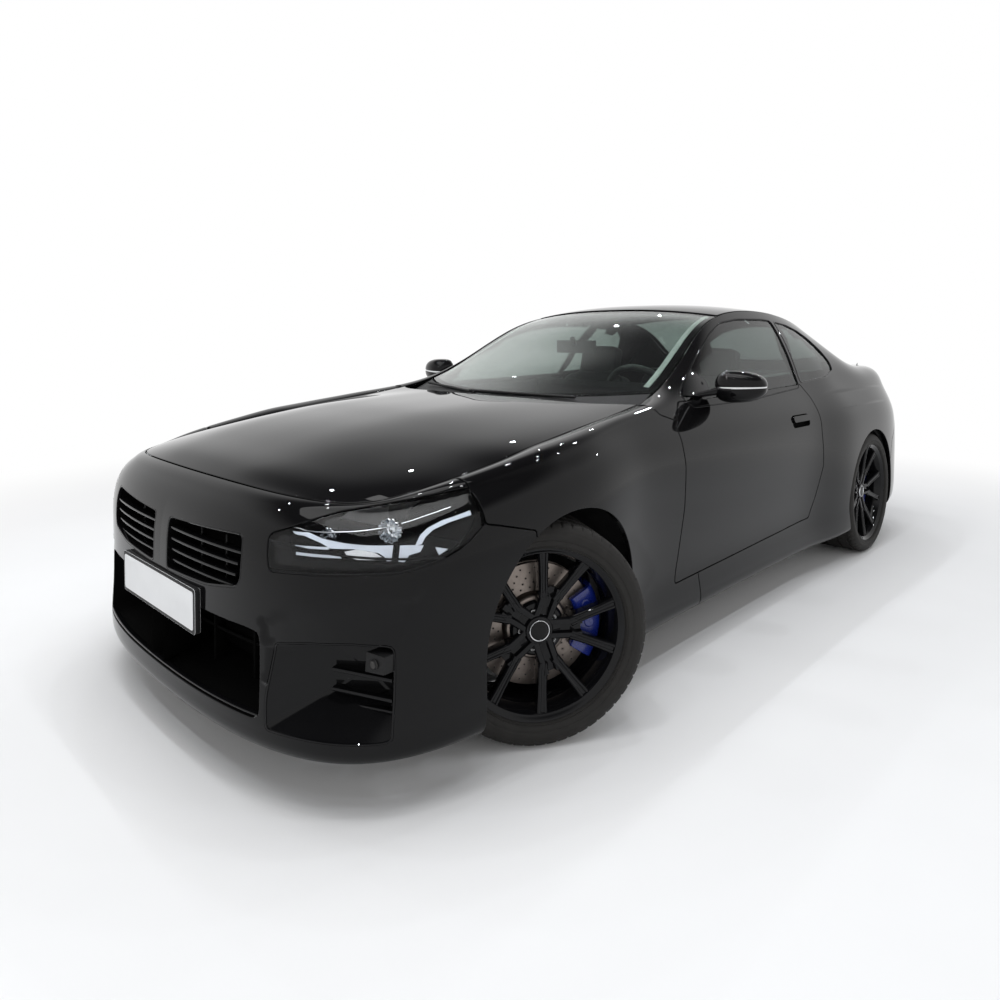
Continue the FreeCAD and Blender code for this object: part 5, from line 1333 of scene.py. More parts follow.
# Sheets of the body
sideSheet = Sheet(sideGrid())
bonnetSheet = Sheet(bonnetGrid(), True)
roofSheet = Sheet(roofGrid(), True)
deckSheet = Sheet(deckGrid(), True)
report("sheets")

# Body panels. Windows are the parts of the sheets that hold each, as (u0, u1, v0, v1)
windows = {"nose": (0, .36, 0, 1), "lamp": (0, .3, 0, 1), "fender": (.1, .6, 0, 1),
           "door": (.3, .7, 0, 1), "glass": (.3, .8, .4, 1), "side": (.3, 1, 0, 1),
           "rear": (.6, 1, 0, 1), "lining": (.6, .97, .12, 1), "tail": (.75, 1, 0, 1)}


def panel(name, sheet, shapes, keep, material=None, step=.018, creases=(), window=(0, 1, 0, 1),
          both=False, **rim):
    verts, normals, triangles = patchwork(sheet, shapes, keep, step, creases, window)
    parts = [rimmed(verts, normals, triangles, **rim)]
    if both:
        parts.append(mirrorOf(*parts[0]))
    verts, normals, faces = merged(parts)
    return objectOf(name, meshOf(name, verts, faces, normals), material or paint)


def panelPair(name, bodies, replaced, *arguments, **options):
    left = panel(name + "_left", *arguments, **options)
    mesh = left.data
    verts = np.array([v.co for v in mesh.vertices])
    normals = np.array([tuple(n.vector) for n in mesh.corner_normals])
    owner = np.array([loop.vertex_index for loop in mesh.loops])
    vertNormals = np.zeros_like(verts)
    vertNormals[owner] = normals
    flipped = mirrorOf(verts, vertNormals, [tuple(p.vertices) for p in mesh.polygons])
    right = objectOf(name + "_right", meshOf(name + "_right", flipped[0], flipped[2],
                                             flipped[1]), mesh.materials[0])
    pieceOn(bodies[0], left, *[r + "_left" for r in replaced])
    pieceOn(bodies[1], right, *[r + "_right" for r in replaced])


doorOutline = (
    (1.301, .688), (1.261, .627), (1.262, .570), (1.268, .523), (1.271, .409), (1.262, .275),
    (1.254, .207), (1.40, .211), (1.60, .219), (1.718, .227), (1.737, .289), (1.762, .408),
    (1.758, .470), (1.751, .532), (1.750, .656), (1.738, .702), (1.52, .692))
doorGlassOutline = (
    (1.316, .7035), (1.375, .756), (1.43, .813), (1.506, .885), (1.558, .921), (1.624, .936),
    (1.726, .940), (1.772, .936), (1.731, .69), (1.52, .67), (1.33, .67))
quarterOutline = (
    (1.785, .934), (1.839, .924), (1.882, .903), (1.912, .872), (1.932, .825),
    (1.938, .775), (1.925, .742), (1.872, .720), (1.744, .7065))
fenderOutline = (
    (.600, .5095), (.651, .5025), (.80, .478), (.80, .1), (1.32, .1), (1.32, .655),
    (1.274, .640), (1.240, .662), (1.230, .70), (1.230, 1.1), (.600, 1.1))
rearBumperOutline = (
    (2.30, -.1), (2.30, .25), (2.395, .43), (2.44, .45), (2.68, .545), (3.2, .545),
    (3.2, -.1))
lampOutline = (
    (.573, .502), (.632, .517), (.707, .542), (.796, .5565), (.849, .5655), (.879, .5725),
    (.93, .5725), (.948, .545), (.952, .510), (.951, .483), (.942, .465), (.925, .455),
    (.893, .4455), (.831, .446), (.697, .4425), (.598, .4375))
grilleOutline = (
    (.052, .474), (.062, .480), (.464, .491), (.480, .486), (.489, .456), (.487, .410),
    (.470, .392), (.318, .376), (.062, .370), (.052, .376))
lowerIntakeOutline = (
    (-.05, .322), (.50, .322), (.556, .318), (.562, .30), (.567, .168), (.55, .160),
    (-.05, .160))
outerIntakeOutline = (
    (.609, .303), (.70, .313), (.795, .317), (.880, .315), (.884, .300), (.886, .146),
    (.875, .142), (.729, .145), (.594, .146), (.590, .20))
diffuserOutline = ((-.05, .235), (.62, .235), (.70, .20), (.74, .10), (-.05, .10))
tailLampOutline = (
    (.46, .655), (.60, .664), (.80, .664), (.96, .655), (.96, .605), (.86, .596), (.70, .600),
    (.60, .585), (.52, .585), (.45, .62))
lidFaceOutline = ((-.05, .5495), (.50, .5495), (.545, .585), (.545, .9), (-.05, .9))
archLevel, archRadius = .3375, .362

shapes = {
    "door": sideShape(doorOutline, .012), "doorGlass": sideShape(doorGlassOutline, .03),
    "quarter": sideShape(quarterOutline, .02), "fender": sideShape(fenderOutline, .006),
    "tailPart": sideShape(rearBumperOutline, .01), "lamp": frontShape(lampOutline, .015),
    "grille": frontShape(grilleOutline, .014), "lower": frontShape(lowerIntakeOutline, .010),
    "outer": frontShape(outerIntakeOutline, .012),
    "diffuser": frontShape(diffuserOutline, .02, 1),
    "tailLamp": frontShape(tailLampOutline, .014, 1),
    "lidFace": frontShape(lidFaceOutline, .02, 1),
    "frontArch": roundShape((frontAxle + .012, archLevel), archRadius),
    "archFoot": Shape(resampled(np.array([[frontAxle + y, z] for y, z in (
        (-.350, archLevel), (.4, archLevel), (.4, -.1), (-.350, -.1))]), .008), sidePlane),
    "rearArch": roundShape((rearAxle + .014, archLevel), archRadius)}


handleSizes = {"front": .312, "rear": .505, "low": .792, "high": .846}


def handleOutline(step):
    front, rear, low, high = handleSizes.values()
    return rounded([(front, low), (rear, low), (rear, high), (front, high)], .022, step)


shapes["handle"] = Shape(handleOutline(.006), sidePlane)


def chosen(*names):
    return {name: shapes[name] for name in names}


def before(places, share):
    return places[:, 1] < float(along(share))


# limits of shapes that would also hit the other end, as shares along the car
bumperEnd, lampEnd, lidStart, diffuserStart, tailLampStart = .80, .5997, 2.3, 2.5, 2.66


def lampHeld(m, at):
    return m["lamp"] & before(at, lampEnd)


def tailLampHeld(m, at):
    return m["tailLamp"] & ~before(at, tailLampStart)


def lidFaceHeld(m, at):
    return m["lidFace"] & ~before(at, lidStart)


def diffuserHeld(m, at):
    return m["diffuser"] & ~before(at, diffuserStart)


def bumperKeep(m, at, uv):
    return (before(at, bumperEnd) & ~m["fender"] & ~lampHeld(m, at)
            & ~m["grille"] & ~m["lower"] & ~m["outer"] & ~m["frontArch"] & ~m["archFoot"])


bumperSheet = sideSheet.sunk(0, wedgeRelief)
wedgeCreases = [Shape(resampled(np.array([wedgeNodes[k][:2] for k in line]), .008, False),
                      frontPlane, -1) for line in wedgeLines]
seamLimit = Shape([[float(along(bumperEnd)), z] for z in np.linspace(0, .7, 90)], sidePlane)
pieceOn("root", panel(
    "frontBumper", bumperSheet, chosen("fender", "lamp", "grille", "lower", "outer",
                                     "frontArch", "archFoot"),
    bumperKeep, step=.015, creases=[seamLimit] + wedgeCreases, window=windows["nose"],
    both=True), "front_bumper")
report("front bumper")

panelPair("fenderSkin", ("root", "root"), ("fender",), sideSheet,
          chosen("fender", "door", "frontArch"),
          lambda m, at, uv: m["fender"] & ~m["door"] & ~m["frontArch"],
          window=windows["fender"])
report("fenders")

panelPair("doorSkin", ("door_left", "door_right"), ("door",), sideSheet,
          chosen("door", "handle"), lambda m, at, uv: m["door"] & ~m["handle"],
          window=windows["door"], wall=.024)
report("doors")

panelPair("sidePanel", ("root", "root"), ("side_panel",), sideSheet,
          chosen("fender", "door", "doorGlass", "quarter", "rearArch", "frontArch",
                 "tailLamp", "lidFace", "tailPart"),
          lambda m, at, uv: (~before(at, 1.10) & ~m["fender"] & ~m["door"]
                             & ~m["doorGlass"] & ~m["quarter"] & ~m["rearArch"]
                             & ~tailLampHeld(m, at) & ~lidFaceHeld(m, at)
                             & ~m["tailPart"]),
          window=windows["side"])
report("side panels")

pieceOn("root", panel(
    "rearBumper", sideSheet, chosen("tailPart", "tailLamp", "rearArch", "diffuser"),
    lambda m, at, uv: (m["tailPart"] & ~m["rearArch"] & ~tailLampHeld(m, at)
                       & ~diffuserHeld(m, at)),
    window=windows["rear"], both=True), "rear_bumper")

pieceOn("bonnet", panel("bonnetSkin", bonnetSheet, {}, lambda m, at, uv: uv[:, 0] >= 0,
                        centre=False), "bonnet")


def between(low, high):
    return lambda m, at, uv: (uv[:, 0] > low) & (uv[:, 0] < high)


header, rearHeader, roofEdge = .362, .735, .008
pieceOn("root", panel("roofSkin", roofSheet, {}, between(header, rearHeader), centre=False,
                      window=(header, rearHeader, roofEdge, 1 - roofEdge)), "roof_panel")
deck = panel("deck", deckSheet, {}, between(0, 1), centre=False)
lidFace = panel("lidFace", sideSheet, chosen("lidFace", "tailLamp"),
                lambda m, at, uv: lidFaceHeld(m, at) & ~m["tailLamp"],
                window=windows["tail"], both=True)
pieceOn("boot_lid", deck, "boot_lid")
pieceOn("boot_lid", lidFace)
report("bonnet, roof and lid")

# Glass
glassDepth = .005
sunkRoof, sunkSide = roofSheet.sunk(glassDepth), sideSheet.sunk(glassDepth)
glassRim = {"gap": .0012, "radius": .001, "wall": .004, "rings": 2}
pieceOn("root", panel("screenPane", sunkRoof, {}, between(0, header), screenGlass, .03,
                      centre=False, window=(.004, header, roofEdge, 1 - roofEdge),
                      **glassRim), "windscreen", slot="window_glass")
rearGlass = panel("rearGlass", sunkRoof, {}, between(rearHeader, 1), darkGlass, .03,
                  centre=False, window=(rearHeader, .999, roofEdge, 1 - roofEdge),
                  **glassRim)
pieceOn("root", rearGlass, "rear_windows", slot="window_glass")
quarterGlass = panel("quarterGlass", sunkSide, chosen("quarter"),
                     lambda m, at, uv: m["quarter"], darkGlass, .03,
                     window=windows["glass"], both=True, **glassRim)
pieceOn("root", quarterGlass, slot="window_glass")
panelPair("doorPane", ("door_left", "door_right"), ("door_glass",), sunkSide,
          chosen("doorGlass", "door"),
          lambda m, at, uv: m["doorGlass"] & ~m["door"], darkGlass, .03,
          window=windows["glass"], **glassRim)
report("glass")

# Openings of the nose. Each duct: sheet, spans of its rear outline (x, z, y), finish
noseDucts = {
    # the grille and lower ducts end in near-lightless black walls: painted shade for the depth
    # behind the openings
    "grille": (bumperSheet, (.078, .425, .525, .655, -2.165, -2.125), blackAndPaintedShade),
    "lower": (sideSheet, (0, .48, .255, .43, -2.10, -2.10), blackAndPaintedShade),
    "outer": (bumperSheet, (.645, .806, .285, .425, -2.085, -1.990), trimGloss)}
grilleLevels, outerLevels = (.641, .609, .577, .545), (.300, .352)
noseLines = {name: chainOf(shapes[name], sideSheet) for name in noseDucts}
noseParts = [(*ductFrom(sheet, noseLines[name], back, .001), material)
             for name, (sheet, back, material) in noseDucts.items()]
noseParts += [(*barAlong(bumperSheet, noseLines[name], .010, .006, .005, closed=True),
               trimGloss) for name in ("grille", "outer")]
noseBars = (
    # name, lines, depth, height, corner, finish
    ("grilleSlats", [frontPlaces(np.linspace(.058, .447 - .012 * k, 26), level,
                                 .020 + .002 * k) for k, level in enumerate(grilleLevels)],
     .030, .0075, .002, trimGloss),
    ("grillePosts", [np.array([[x, -2.232 + .1 * (x - .05), z]
                               for z in np.linspace(.530, .655, 8)]) for x in (.17, .30)],
     .008, .006, .002, trimMatt),
    ("outerSlats", [np.array([[x, -2.085 + (x - .64) * .42, level]
                              for x in np.linspace(.655, .818, 12)]) for level in outerLevels],
     .050, .010, .003, trimGloss),
    ("outerLedge", [np.array([[x, -2.070 + (x - .60) * .42, .262 + .02 * (x - .60)]
                              for x in np.linspace(.62, .812, 12)])],
     .09, .008, .003, trimGloss),
    ("lowerStruts", [np.array([[x, -2.17 + .22 * x * x, z]
                               for z in np.linspace(.244, .446, 8)]) for x in (.16, .36)],
     .012, .035, .003, blackAndPaintedShade),
    ("lowerRails", [np.array([[x, -2.175 + .20 * x * x, .345]
                              for x in np.linspace(0, .49, 20)])], .014, .010, .003, blackAndPaintedShade),
    ("lowerLip", [frontPlaces(np.linspace(0, .53, 30), .233, .0085)],
     .016, .006, .002, trimGloss))
noseParts += [sweptBars(*bar) for bar in noseBars]
pieceOf("noseOpenings", bothHalves(noseParts), "root", "front_grilles", slot="black_plastic",
        angle=40)

# distance sensor box in the outer opening's upper corner
boxParts = []
for side in (1, -1):
    boxParts.append((*drawn([np.array([
        (side * (.772 + dx), -2.075 + .055 * t + .25 * dx, .372 + dz)
        for dx, dz in ((0, 0), (.058, .004), (.060, .050), (.004, .052))])
        for t in (0, 1)]), trimMatt))
    verts, faces = turned([(0, .013), (.004, .013), (.006, .011), (.006, 0)], 32,
                          closed=False)
    verts = np.stack([verts[:, 1] + side * .802, -2.068 - verts[:, 0], verts[:, 2] + .398], 1)
    boxParts.append((verts, faces, darkSteel))
pieceOf("noseSensors", boxParts, "root", slot="black_plastic", bevel=.002)

# blank plates on their holders
plateSizes = {"width": .52, "height": .11, "level": .444, "front": -2.2895,
              "rear": 2.2897, "rearLevel": .630}


def plateOn(name, face, level, heading):
    groups = []
    for wide, high, thick, out, material, corner in (
            (plateSizes["width"], plateSizes["height"], .0014, 0, platePaint, .010),
            (plateSizes["width"] + .022, plateSizes["height"] + .020, .016, .0016, trimMatt,
             .012)):
        outline = rounded([(-wide / 2, -high / 2), (wide / 2, -high / 2), (wide / 2, high / 2),
                           (-wide / 2, high / 2)], corner, .004)
        rings = [np.stack([outline[:, 0], np.full(len(outline), face - heading * (out + t)),
                           level + outline[:, 1]], 1) for t in (0, thick)]
        groups.append((*drawn(rings), material))
    pieceOf(name, groups, "root", slot=None, bevel=.0006)


plateOn("frontPlate", plateSizes["front"], plateSizes["level"], -1)
report("nose openings and plate")

# Headlamps: housing, light guides, projectors and cover
lampLine = chainOf(shapes["lamp"], sideSheet)
lampGroups = [(*ductFrom(sideSheet, lampLine, (.555, .84, .592, .752, -2.12, -1.82), .004, 6),
               blackAndPaintedShade)]
# bright and black ribbons under the cover: depth, finish and two edges in ten-thousandths
lampRibbons = {
    "band": (.012, lightGuide,
             ((711, 5328), (801, 5405), (891, 5212), (1014, 5097), (1135, 5019), (1301, 4942)),
             ((730, 5260), (784, 5251), (888, 5058), (944, 4903), (1071, 4903), (1160, 4826),
              (1218, 4749), (1251, 4633), (1265, 4517), (1291, 4517))),
    "block": (.012, lightGuide, ((1341, 4903), (1380, 4880), (1420, 4850), (1485, 4788)),
              ((1331, 4479), (1365, 4440), (1395, 4595), (1462, 4633))),
    "barHigh": (.012, lightGuide, ((747, 4903), (934, 4942)), ((751, 4826), (938, 4865))),
    "barLow": (.012, lightGuide, ((761, 4710), (1001, 4710)), ((764, 4633), (1014, 4633))),
    "hook": (.012, lightGuide,
             ((1825, 5560), (1729, 5521), (1618, 5483), (1518, 5328), (1468, 5135), (1432, 4826)),
             ((1825, 5367), (1745, 5350), (1665, 5328), (1555, 5212), (1498, 5019),
              (1472, 4826))),
    "corner": (.012, lightGuide, ((1558, 4672), (1638, 4556)), ((1566, 4570), (1578, 4479))),
    "plate": (.020, bright, ((1021, 4826), (1088, 4903), (1191, 4788), (1238, 4633)),
              ((1040, 4700), (1095, 4595), (1180, 4570), (1248, 4556))),
    "innerMask": (.006, blackAndPaintedShade,
                  ((637, 4247), (611, 4440), (597, 4710), (591, 4981), (611, 5212)),
                  ((755, 4290), (757, 4556), (745, 4710), (730, 4981), (695, 5444))),
    "lowerMask": (.006, blackAndPaintedShade,
                  ((755, 4556), (898, 4556), (1061, 4556), (1268, 4440), (1472, 4402),
                   (1578, 4440), (1705, 4595), (1799, 4942), (1855, 5367)),
                  ((731, 4286), (901, 4330), (1065, 4340), (1228, 4324), (1455, 4324),
                   (1600, 4380), (1755, 4560), (1870, 4903), (1915, 5290)))}
for depth, material, *edges in lampRibbons.values():
    edges = [resampled(np.array(edge, float) / 10000, .0015, False) for edge in edges]
    count = max(len(edge) for edge in edges)
    edges = [np.stack([np.interp(np.linspace(0, 1, count), np.linspace(0, 1, len(edge)),
                                 edge[:, k]) for k in (0, 1)], 1) for edge in edges]
    corners = [placesOn(sideSheet, edges[k], deep)[0]
               for k, deep in ((0, depth), (1, depth), (1, depth + .003), (0, depth + .003))]
    lampGroups.append((*drawn(list(np.stack(corners, 1))), material))
lampGroups.append((*barAlong(sideSheet, lampLine, .002, .006, .0045, closed=True), trimGloss))
brow = ((.066, .546), (.084, .552), (.104, .566), (.128, .588), (.150, .604), (.172, .612))
lampGroups.append((*barAlong(sideSheet, brow, .004, .003, .020), bright))
# projectors turned about an axis that looks forward and out
projectorAxis = unit(np.array([.42, -.9, 0]))
projectorSide = unit(np.cross([0, 0, 1], projectorAxis))
for place, radius in (((.765, -1.975, .716), .026), ((.652, -2.085, .700), .019)):
    bowl = [(.030, radius * 1.25), (.032, radius * 1.2), (.010, radius * 1.02), (0, radius * .9),
            (-.004, radius * .55), (.012, radius * .45), (.016, radius * .3), (.017, 0)]
    verts, faces = turned(bowl, 48, closed=False)
    ripple = 1 + .05 * np.sign(np.sin(12 * np.arctan2(verts[:, 2], verts[:, 1])))
    local = verts * np.stack([np.ones(len(verts)), ripple, ripple], 1)
    placed = place + local @ np.array([projectorAxis, projectorSide, [0, 0, 1]])
    lampGroups.append((placed, faces, mirrorSilver))
pieceOf("lampInside", bothHalves(lampGroups), "root", "headlamps", slot="lamp_lens", angle=30)
lampRim = {"gap": .0015, "radius": .0015, "wall": .003, "rings": 2}
pieceOn("root", panel("lampCover", sideSheet.sunk(.0006), chosen("lamp"),
                      lambda m, at, uv: lampHeld(m, at), lampGlass, .02,
                      window=windows["lamp"], both=True, **lampRim), slot="lamp_lens")
report("headlamps")

# Window surrounds and handles
surrounds = {name: (*barAlong(sideSheet, chainOf(shapes[name], sideSheet, .8), .010, .009,
                              .0035, closed=True), trimGloss)
             for name in ("doorGlass", "quarter")}
pieceOf("quarterTrim", bothHalves([surrounds["quarter"]]), "root", slot="black_plastic")


def sideBlock(outline, depths, material):
    # closed block under or over a side outline
    uv = sideSheet.find(outline, sidePlane)[0]
    return (*drawn([placesOn(sideSheet, uv, depth)[0] for depth in depths]), material)


def handleGroups():
    front, rear, low, high = handleSizes.values()
    bowl = handleOutline(.004)
    flap = rounded([(front + .004, low + .022), (rear - .004, low + .022),
                    (rear - .004, high - .003), (front + .004, high - .003)], .014, .004)
    middle = np.array([(front + rear) / 2, (low + high) / 2])
    inner = middle + (bowl - middle) * np.array([.95, .82])
    rimLine = middle + (bowl - middle) * np.array([1.03, 1.08])
    rings = [placesOn(sideSheet, sideSheet.find(line, sidePlane)[0], depth)[0]
             for line, depth in ((rimLine, .006), (inner, .018))]
    # the bowl behind the handle is near-lightless black: painted shade in the recess
    return [(*closedBy(rings), blackAndPaintedShade), sideBlock(flap, (-.0085, -.0075, -.001, .004), paint)]


# Mirrors: cap, bright line, lower shell, glass, foot and arm
mirrorSizes = {"center": (.924, -.333, 1.018), "reach": .103, "depth": .077, "height": .062,
               "sweep": 14}
# powers that square the shell off, from a ball towards a block
mirrorPowers = {"across": .72, "deep": .8, "waist": .62, "up": .8}


def mirrorGroups():
    center, reach, deep, high = (np.array(mirrorSizes["center"]), mirrorSizes["reach"],
                                 mirrorSizes["depth"], mirrorSizes["height"])
    sweep = math.radians(mirrorSizes["sweep"])
    turn = np.array([[math.cos(sweep), -math.sin(sweep), 0],
                     [math.sin(sweep), math.cos(sweep), 0], [0, 0, 1]])
    groups = []

    def shell(low, top, rows, grow, material):
        lines = []
        for tilt in np.linspace(low, top, rows):
            ring = []
            for at in turnsOf(72):
                cosine, sine = math.cos(at), math.sin(at)
                waist = abs(math.cos(tilt)) ** mirrorPowers["waist"]
                x = math.copysign(abs(cosine) ** mirrorPowers["across"], cosine) * waist
                y = math.copysign(abs(sine) ** mirrorPowers["deep"], sine) * waist
                z = math.copysign(abs(math.sin(tilt)) ** mirrorPowers["up"], math.sin(tilt))
                taper = 1 - .16 * max(x, 0) - .05 * min(x, 0)
                rise = .10 * (1 - x) * (z > 0)
                ring.append([x * reach * grow,
                             min(y * deep * taper * grow, .040),
                             (z * taper + rise * z) * high * grow + .004 * x])
            lines.append(np.array(ring) @ turn.T + center)
        return (*drawn(lines), material)
    groups.append(shell(.035, math.pi / 2 - .02, 20, 1, paint))
    groups.append(shell(-.035, .035, 3, .968, bright))
    groups.append(shell(-math.pi / 2 + .02, -.035, 20, 1, trimGloss))
    # glass on the rear face
    outline = rounded([(-.080, -.039), (.068, -.034), (.074, .034), (-.084, .043)], .024, .004)
    for face, material, shrink in ((.0405, trimMatt, 1.10), (.0425, mirrorSilver, 1)):
        rings = [np.stack([outline[:, 0] * shrink, np.full(len(outline), face - t),
                           outline[:, 1] * shrink + .002], 1) @ turn.T + center
                 for t in (0, .004)]
        groups.append((*drawn(rings), material))
    # arm from the foot panel
    sail = [(1.322, .703), (1.352, .737), (1.392, .772), (1.405, .742), (1.402, .700), (1.36, .698)]
    groups.append(sideBlock(sideOutline(sail), (-.002, .004), trimGloss))
    arm = []
    for share in np.linspace(0, 1, 12):
        place = np.array([.792, -.425, .985]) * (1 - share) + np.array([.862, -.356, 1.006]) * share
        wide, tall = .046 + .006 * share, .013 + .007 * share * share
        arm.append(np.array([[place[0], place[1] + wide * math.cos(t),
                              place[2] + tall * math.sin(t)] for t in turnsOf(24)]))
    groups.append((*drawn(arm), trimGloss))
    return groups


for side, turnedTo in (("left", list), ("right", mirrored)):
    pieceOf("mirrorHousing_" + side, turnedTo(mirrorGroups()), "door_" + side,
            "mirror_" + side, bevel=.0012)
    pieceOf("handleAndTrim_" + side, turnedTo(handleGroups() + [surrounds["doorGlass"]]),
            "door_" + side, slot="black_plastic", bevel=.001, segments=1)
report("mirrors and handles")


# Seats: padded forms with side bolsters and sewn channels
seatPads = {
    # middle, half sizes (across, along, thick), lean in degrees, bolster, channels
    "cushion": ((.375, .095, .315), (.232, .262, .078), 86, .030, 4),
    "back": ((.375, .395, .665), (.228, .335, .058), 14, .034, 5),
    "shoulder": ((.375, .452, .925), (.150, .085, .046), 14, 0, 0),
    "headRest": ((.375, .492, 1.070), (.130, .088, .044), 14, 0, 0)}
benchPads = {
    "benchCushion": ((.265, .985, .560), (.262, .215, .065), 84, .016, 3),
    "benchBack": ((.265, 1.185, .765), (.262, .215, .055), 14, .016, 3)}


def padMesh(name, half, bolster, channels, cells=26):
    # rounded block whose face is crowned, raised at its sides and sewn in channels
    work = bmesh.new()
    bmesh.ops.create_cube(work, size=2)
    bmesh.ops.subdivide_edges(work, edges=work.edges[:], cuts=cells, use_grid_fill=True)
    for vert in work.verts:
        place = np.array(vert.co)
        place /= (abs(place) ** 7).sum() ** (1 / 7)
        a, b, c = place
        crown = (1 - a * a) * (1 - b ** 4)
        side = np.clip((abs(a) - .52) / .2, 0, 1)
        side = side * side * (3 - 2 * side)
        lift = .010 * crown + bolster * side * (1 - .6 * abs(b) ** 3)
        if channels:
            wave = abs(math.sin(math.pi * (b * .5 + .5) * channels * 1.5))
            lift -= .007 * (1 - side) * max(0, 1 - wave * 3.2) * (1 - b ** 6)
            lift -= .010 * max(0, 1 - abs(abs(a) - .60) * 26) * (1 - b ** 8)
        pull = 1 - .03 * (1 - abs(b) ** 2) * (abs(a) > .9)
        vert.co = (a * half[0] * pull, b * half[1], c * half[2] + (lift if c > 0 else 0))
    mesh = bpy.data.meshes.new(name)
    work.to_mesh(mesh)
    work.free()
    mesh.shade_smooth()
    return mesh


def leaning(degrees):
    # directions up a seat's back and out of its padded face
    turn = math.radians(degrees)
    return (np.array([0, math.sin(turn), math.cos(turn)]),
            np.array([0, -math.cos(turn), math.sin(turn)]))


def padded(name, pads, replaced):
    for number, (label, (middle, half, lean, bolster, channels)) in enumerate(pads.items()):
        verts, faces = meshArrays(padMesh(name + label, half, bolster, channels))
        placed = middle + verts @ np.array([(1, 0, 0), *leaning(lean)])
        groups = bothHalves([(placed, faces, leather)])
        pieceOf(name + label, groups, "root", *(() if number else (replaced,)),
                          slot="seat_leather", angle=70)


padded("frontSeat_", seatPads, "front_seats")
padded("rearSeat_", benchPads, "rear_bench")
cabinParts = []
posts = [np.array([[.375 + dx, .462 + .05 * t, .965 + .07 * t] for t in (0, 1)])
         for dx in (-.05, .05)]
cabinParts.append(sweptBars("restPosts", posts, .010, .010, .003, steel))
# shell behind each front seat
middle, half, lean = seatPads["back"][:3]
up, out = leaning(lean)
outline = rounded([(-.20, -.30), (.20, -.30), (.17, .30), (-.17, .30)], .08, .02)
cabinParts.append((*drawn([middle + outline @ np.array([(1, 0, 0), up]) - out * depth
                           for depth in (.03, .075)]), cabinTrim))
# console, its selector and the wide blank display
console = [np.array([[x, y, z] for x, z in ((0, .30), (.115, .30), (.105, top), (0, top))])
           for y, top in ((-.36, .60), (-.20, .56), (.10, .50), (.34, .50))]
cabinParts.append((*drawn(console), cabinTrim))
pieceOf("cabinFittings", bothHalves(cabinParts), "root", slot="cabin_trim", bevel=.006)
display = [np.array([[x, -.398 + .10 * (x - .20) ** 2 + dy, z]
                     for dy, z in ((0, .905), (.012, .905), (.006, 1.015), (-.006, 1.015))])
           for x in np.linspace(-.12, .60, 16)]
selector = [np.array([[.03 * math.cos(t) * s, -.06 + .03 * math.sin(t) * s, z]
                      for t in turnsOf(20)])
            for s, z in ((.9, .50), (.5, .55), (.55, .58), (.3, .595))]
pieceOf("blankDisplay", [(*drawn(display), trimGloss), (*drawn(selector), trimGloss)], "root",
        slot="cabin_trim", bevel=.002)
panelPair("doorCard", ("door_left", "door_right"), (), sideSheet.sunk(.032), chosen("door"),
          lambda m, at, uv: m["door"], cabinTrim, .04, window=windows["door"], wall=.02,
          radius=.006, gap=.012)
pieceOn("root", panel("bootLining", sideSheet.sunk(.034), chosen("rearArch", "lidFace"),
                      lambda m, at, uv: (~before(at, 2.0) & ~m["rearArch"]
                                         & ~lidFaceHeld(m, at)),
                      lining, .03, window=windows["lining"], both=True), slot="cabin_trim")
trayLevel = .40
trayEdge = np.array([[y, trayLevel] for y in np.linspace(1.79, 2.17, 16)])
trayEdge = placesOn(sideSheet, sideSheet.find(trayEdge, sidePlane)[0], .030)[0]
trayLine = np.vstack([[[0, 1.79, trayLevel]], trayEdge,
                      [[trayEdge[-1][0] - .12, 2.235, trayLevel], [0, 2.245, trayLevel]]])
tray = [np.column_stack([trayLine[:, :2], np.full(len(trayLine), trayLevel + rise)])
        for rise in (0, .012)]
pieceOf("bootTray", bothHalves([(*drawn(tray), lining)]), "root", slot="cabin_trim")
report("cabin")

# Edges of the windscreen and the rear glass, and the pale pillar trim
edgeParts = []
for low, high in ((.006, header - .004), (rearHeader + .004, .993)):
    ring = rounded([(low, .016), (high, .014), (high, .986), (low, .984)], .012, .01)
    edgeParts.append((*barAlong(roofSheet, ring, .0012, .030, .0105, closed=True), blackAndPaintedShade))
for v in (.043, .957):
    edgeParts.append((*barAlong(roofSheet, [(.03, v), (.18, v), (.35, v)], .002, .024, .0112),
                      pillarTrim))
pieceOn("root", objectOf("glassEdges", joinedMesh("glassEdges", edgeParts)),
        slot="black_plastic")

# Tail: lamps, diffuser, tips and the blank plate
tailRim = {"gap": .0016, "radius": .003, "wall": .010, "rings": 2}
pieceOn("root", panel("tailLens", sideSheet, chosen("tailLamp", "lidFace"),
                      lambda m, at, uv: tailLampHeld(m, at) & ~m["lidFace"],
                      redLens, .02, window=windows["tail"], both=True, **tailRim),
        "tail_lamps", slot="tail_lens")
pieceOn("boot_lid", panel("lidLens", sideSheet, chosen("tailLamp", "lidFace"),
                          lambda m, at, uv: tailLampHeld(m, at) & m["lidFace"],
                          redLens, .02, window=windows["tail"], both=True, **tailRim),
        slot="tail_lens")
pieceOn("root", panel("diffuser", sideSheet.sunk(.012), chosen("diffuser"),
                      lambda m, at, uv: diffuserHeld(m, at), trimMatt, .03,
                      window=windows["tail"], both=True), slot="black_plastic")
tailGroups = []
for reach in (.33, .45):
    verts, faces = turned([(0, .0478), (.118, .0478), (.121, .0492), (.1205, .0512),
                           (.110, .0516), (0, .0516)], 48)
    tailGroups.append((np.stack([verts[:, 1] + reach, verts[:, 0] + 2.146,
                                 verts[:, 2] + .262], 1), faces, darkSteel))
fins = [np.array([[x, 2.215 - .10 * x * x - .25 * (.30 - z), z]
                  for z in np.linspace(.222, .30, 6)]) for x in (.07, .20)]
tailGroups.append(sweptBars("fins", fins, .012, .05, .004, trimMatt))
pieceOf("tailPipesAndFins", bothHalves(tailGroups), "root", slot="exhaust_steel", angle=30)
plateOn("rearPlate", plateSizes["rear"], plateSizes["rearLevel"], 1)
report("tail")


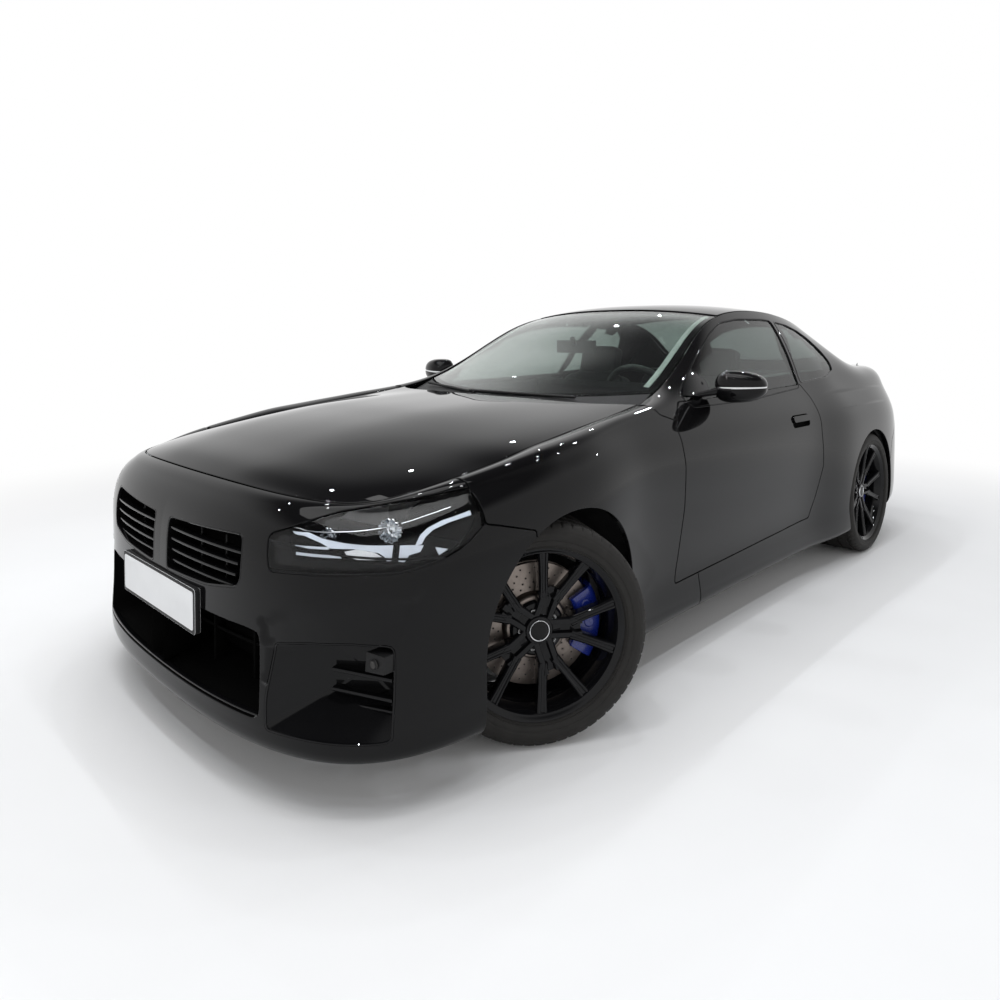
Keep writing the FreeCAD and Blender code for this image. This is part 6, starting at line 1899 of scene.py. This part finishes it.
# Floor, light and camera
floorReach = 30
floorCorners = [(x * floorReach, y * floorReach, 0)
                for x, y in ((-1, -1), (1, -1), (1, 1), (-1, 1))]
floor = objectOf("floor", meshOf("floor", floorCorners, [(0, 1, 2, 3)], smooth=False),
                 floorFinishMade())

world = bpy.data.worlds.new("studio")
bpy.context.scene.world = world
world.use_nodes = True
world.node_tree.nodes.clear()
# white room with a dark ceiling, placed by the sine of the height above the horizon
wired(world.node_tree,
      {"out": "ShaderNodeOutputWorld", "sky": "ShaderNodeBackground",
       "heading": "ShaderNodeTexCoord", "height": "ShaderNodeSeparateXYZ",
       "ceiling": "ShaderNodeMapRange", "tone": "ShaderNodeMix"},
      {"tone": {"data_type": "RGBA", 6: (1, 1, 1, 1), 7: (.10, .10, .105, 1)},
       "ceiling": {"interpolation_type": "SMOOTHSTEP", "From Min": .50, "From Max": .78},
       "sky": {"Strength": 1}},
      ("heading.Generated > height.Vector", "height.Z > ceiling.Value",
       "ceiling.Result > tone.Factor", "tone.2 > sky.Color", "sky.Background > out.Surface"))


def lampAt(name, place, span, power, shape, colour=(1, 1, 1)):
    light = bpy.data.lights.new(name, "AREA")
    light.shape = shape
    light.size, light.size_y = span
    light.energy = power
    light.color = colour
    lamp = bpy.data.objects.new(name, light)
    bpy.context.scene.collection.objects.link(lamp)
    lamp.location = place


ceilingLamps = {"rows": 6, "columns": 4, "pitch": 1.7, "height": 4.6, "size": .075, "power": 9}
for row in range(ceilingLamps["rows"]):
    for column in range(ceilingLamps["columns"]):
        lampAt("spot", ((column - 1.5) * ceilingLamps["pitch"],
                        (row - 2.5) * ceilingLamps["pitch"], ceilingLamps["height"]),
               (ceilingLamps["size"],) * 2, ceilingLamps["power"], "DISK", (.93, .96, 1))
lampAt("softbox", (0, -2.2, 6.5), (5, 4.6), 200, "RECTANGLE")

# camera solved from the photograph
camera = bpy.data.objects.new("camera", bpy.data.cameras.new("camera"))
bpy.context.scene.collection.objects.link(camera)
camera.matrix_world = Matrix((
    (0.720871, -0.030175, 0.692412, 2.259),
    (0.693041, 0.022283, -0.720554, -3.139),
    (0.006314, 0.999296, 0.036975, 1.216),
    (0, 0, 0, 1)))
camera.data.sensor_width = 36
camera.data.lens = 26.142
camera.data.shift_y = -.1361
camera.data.clip_start = .05
bpy.context.scene.camera = camera
bpy.context.scene.view_settings.view_transform = "Standard"

report("stage")
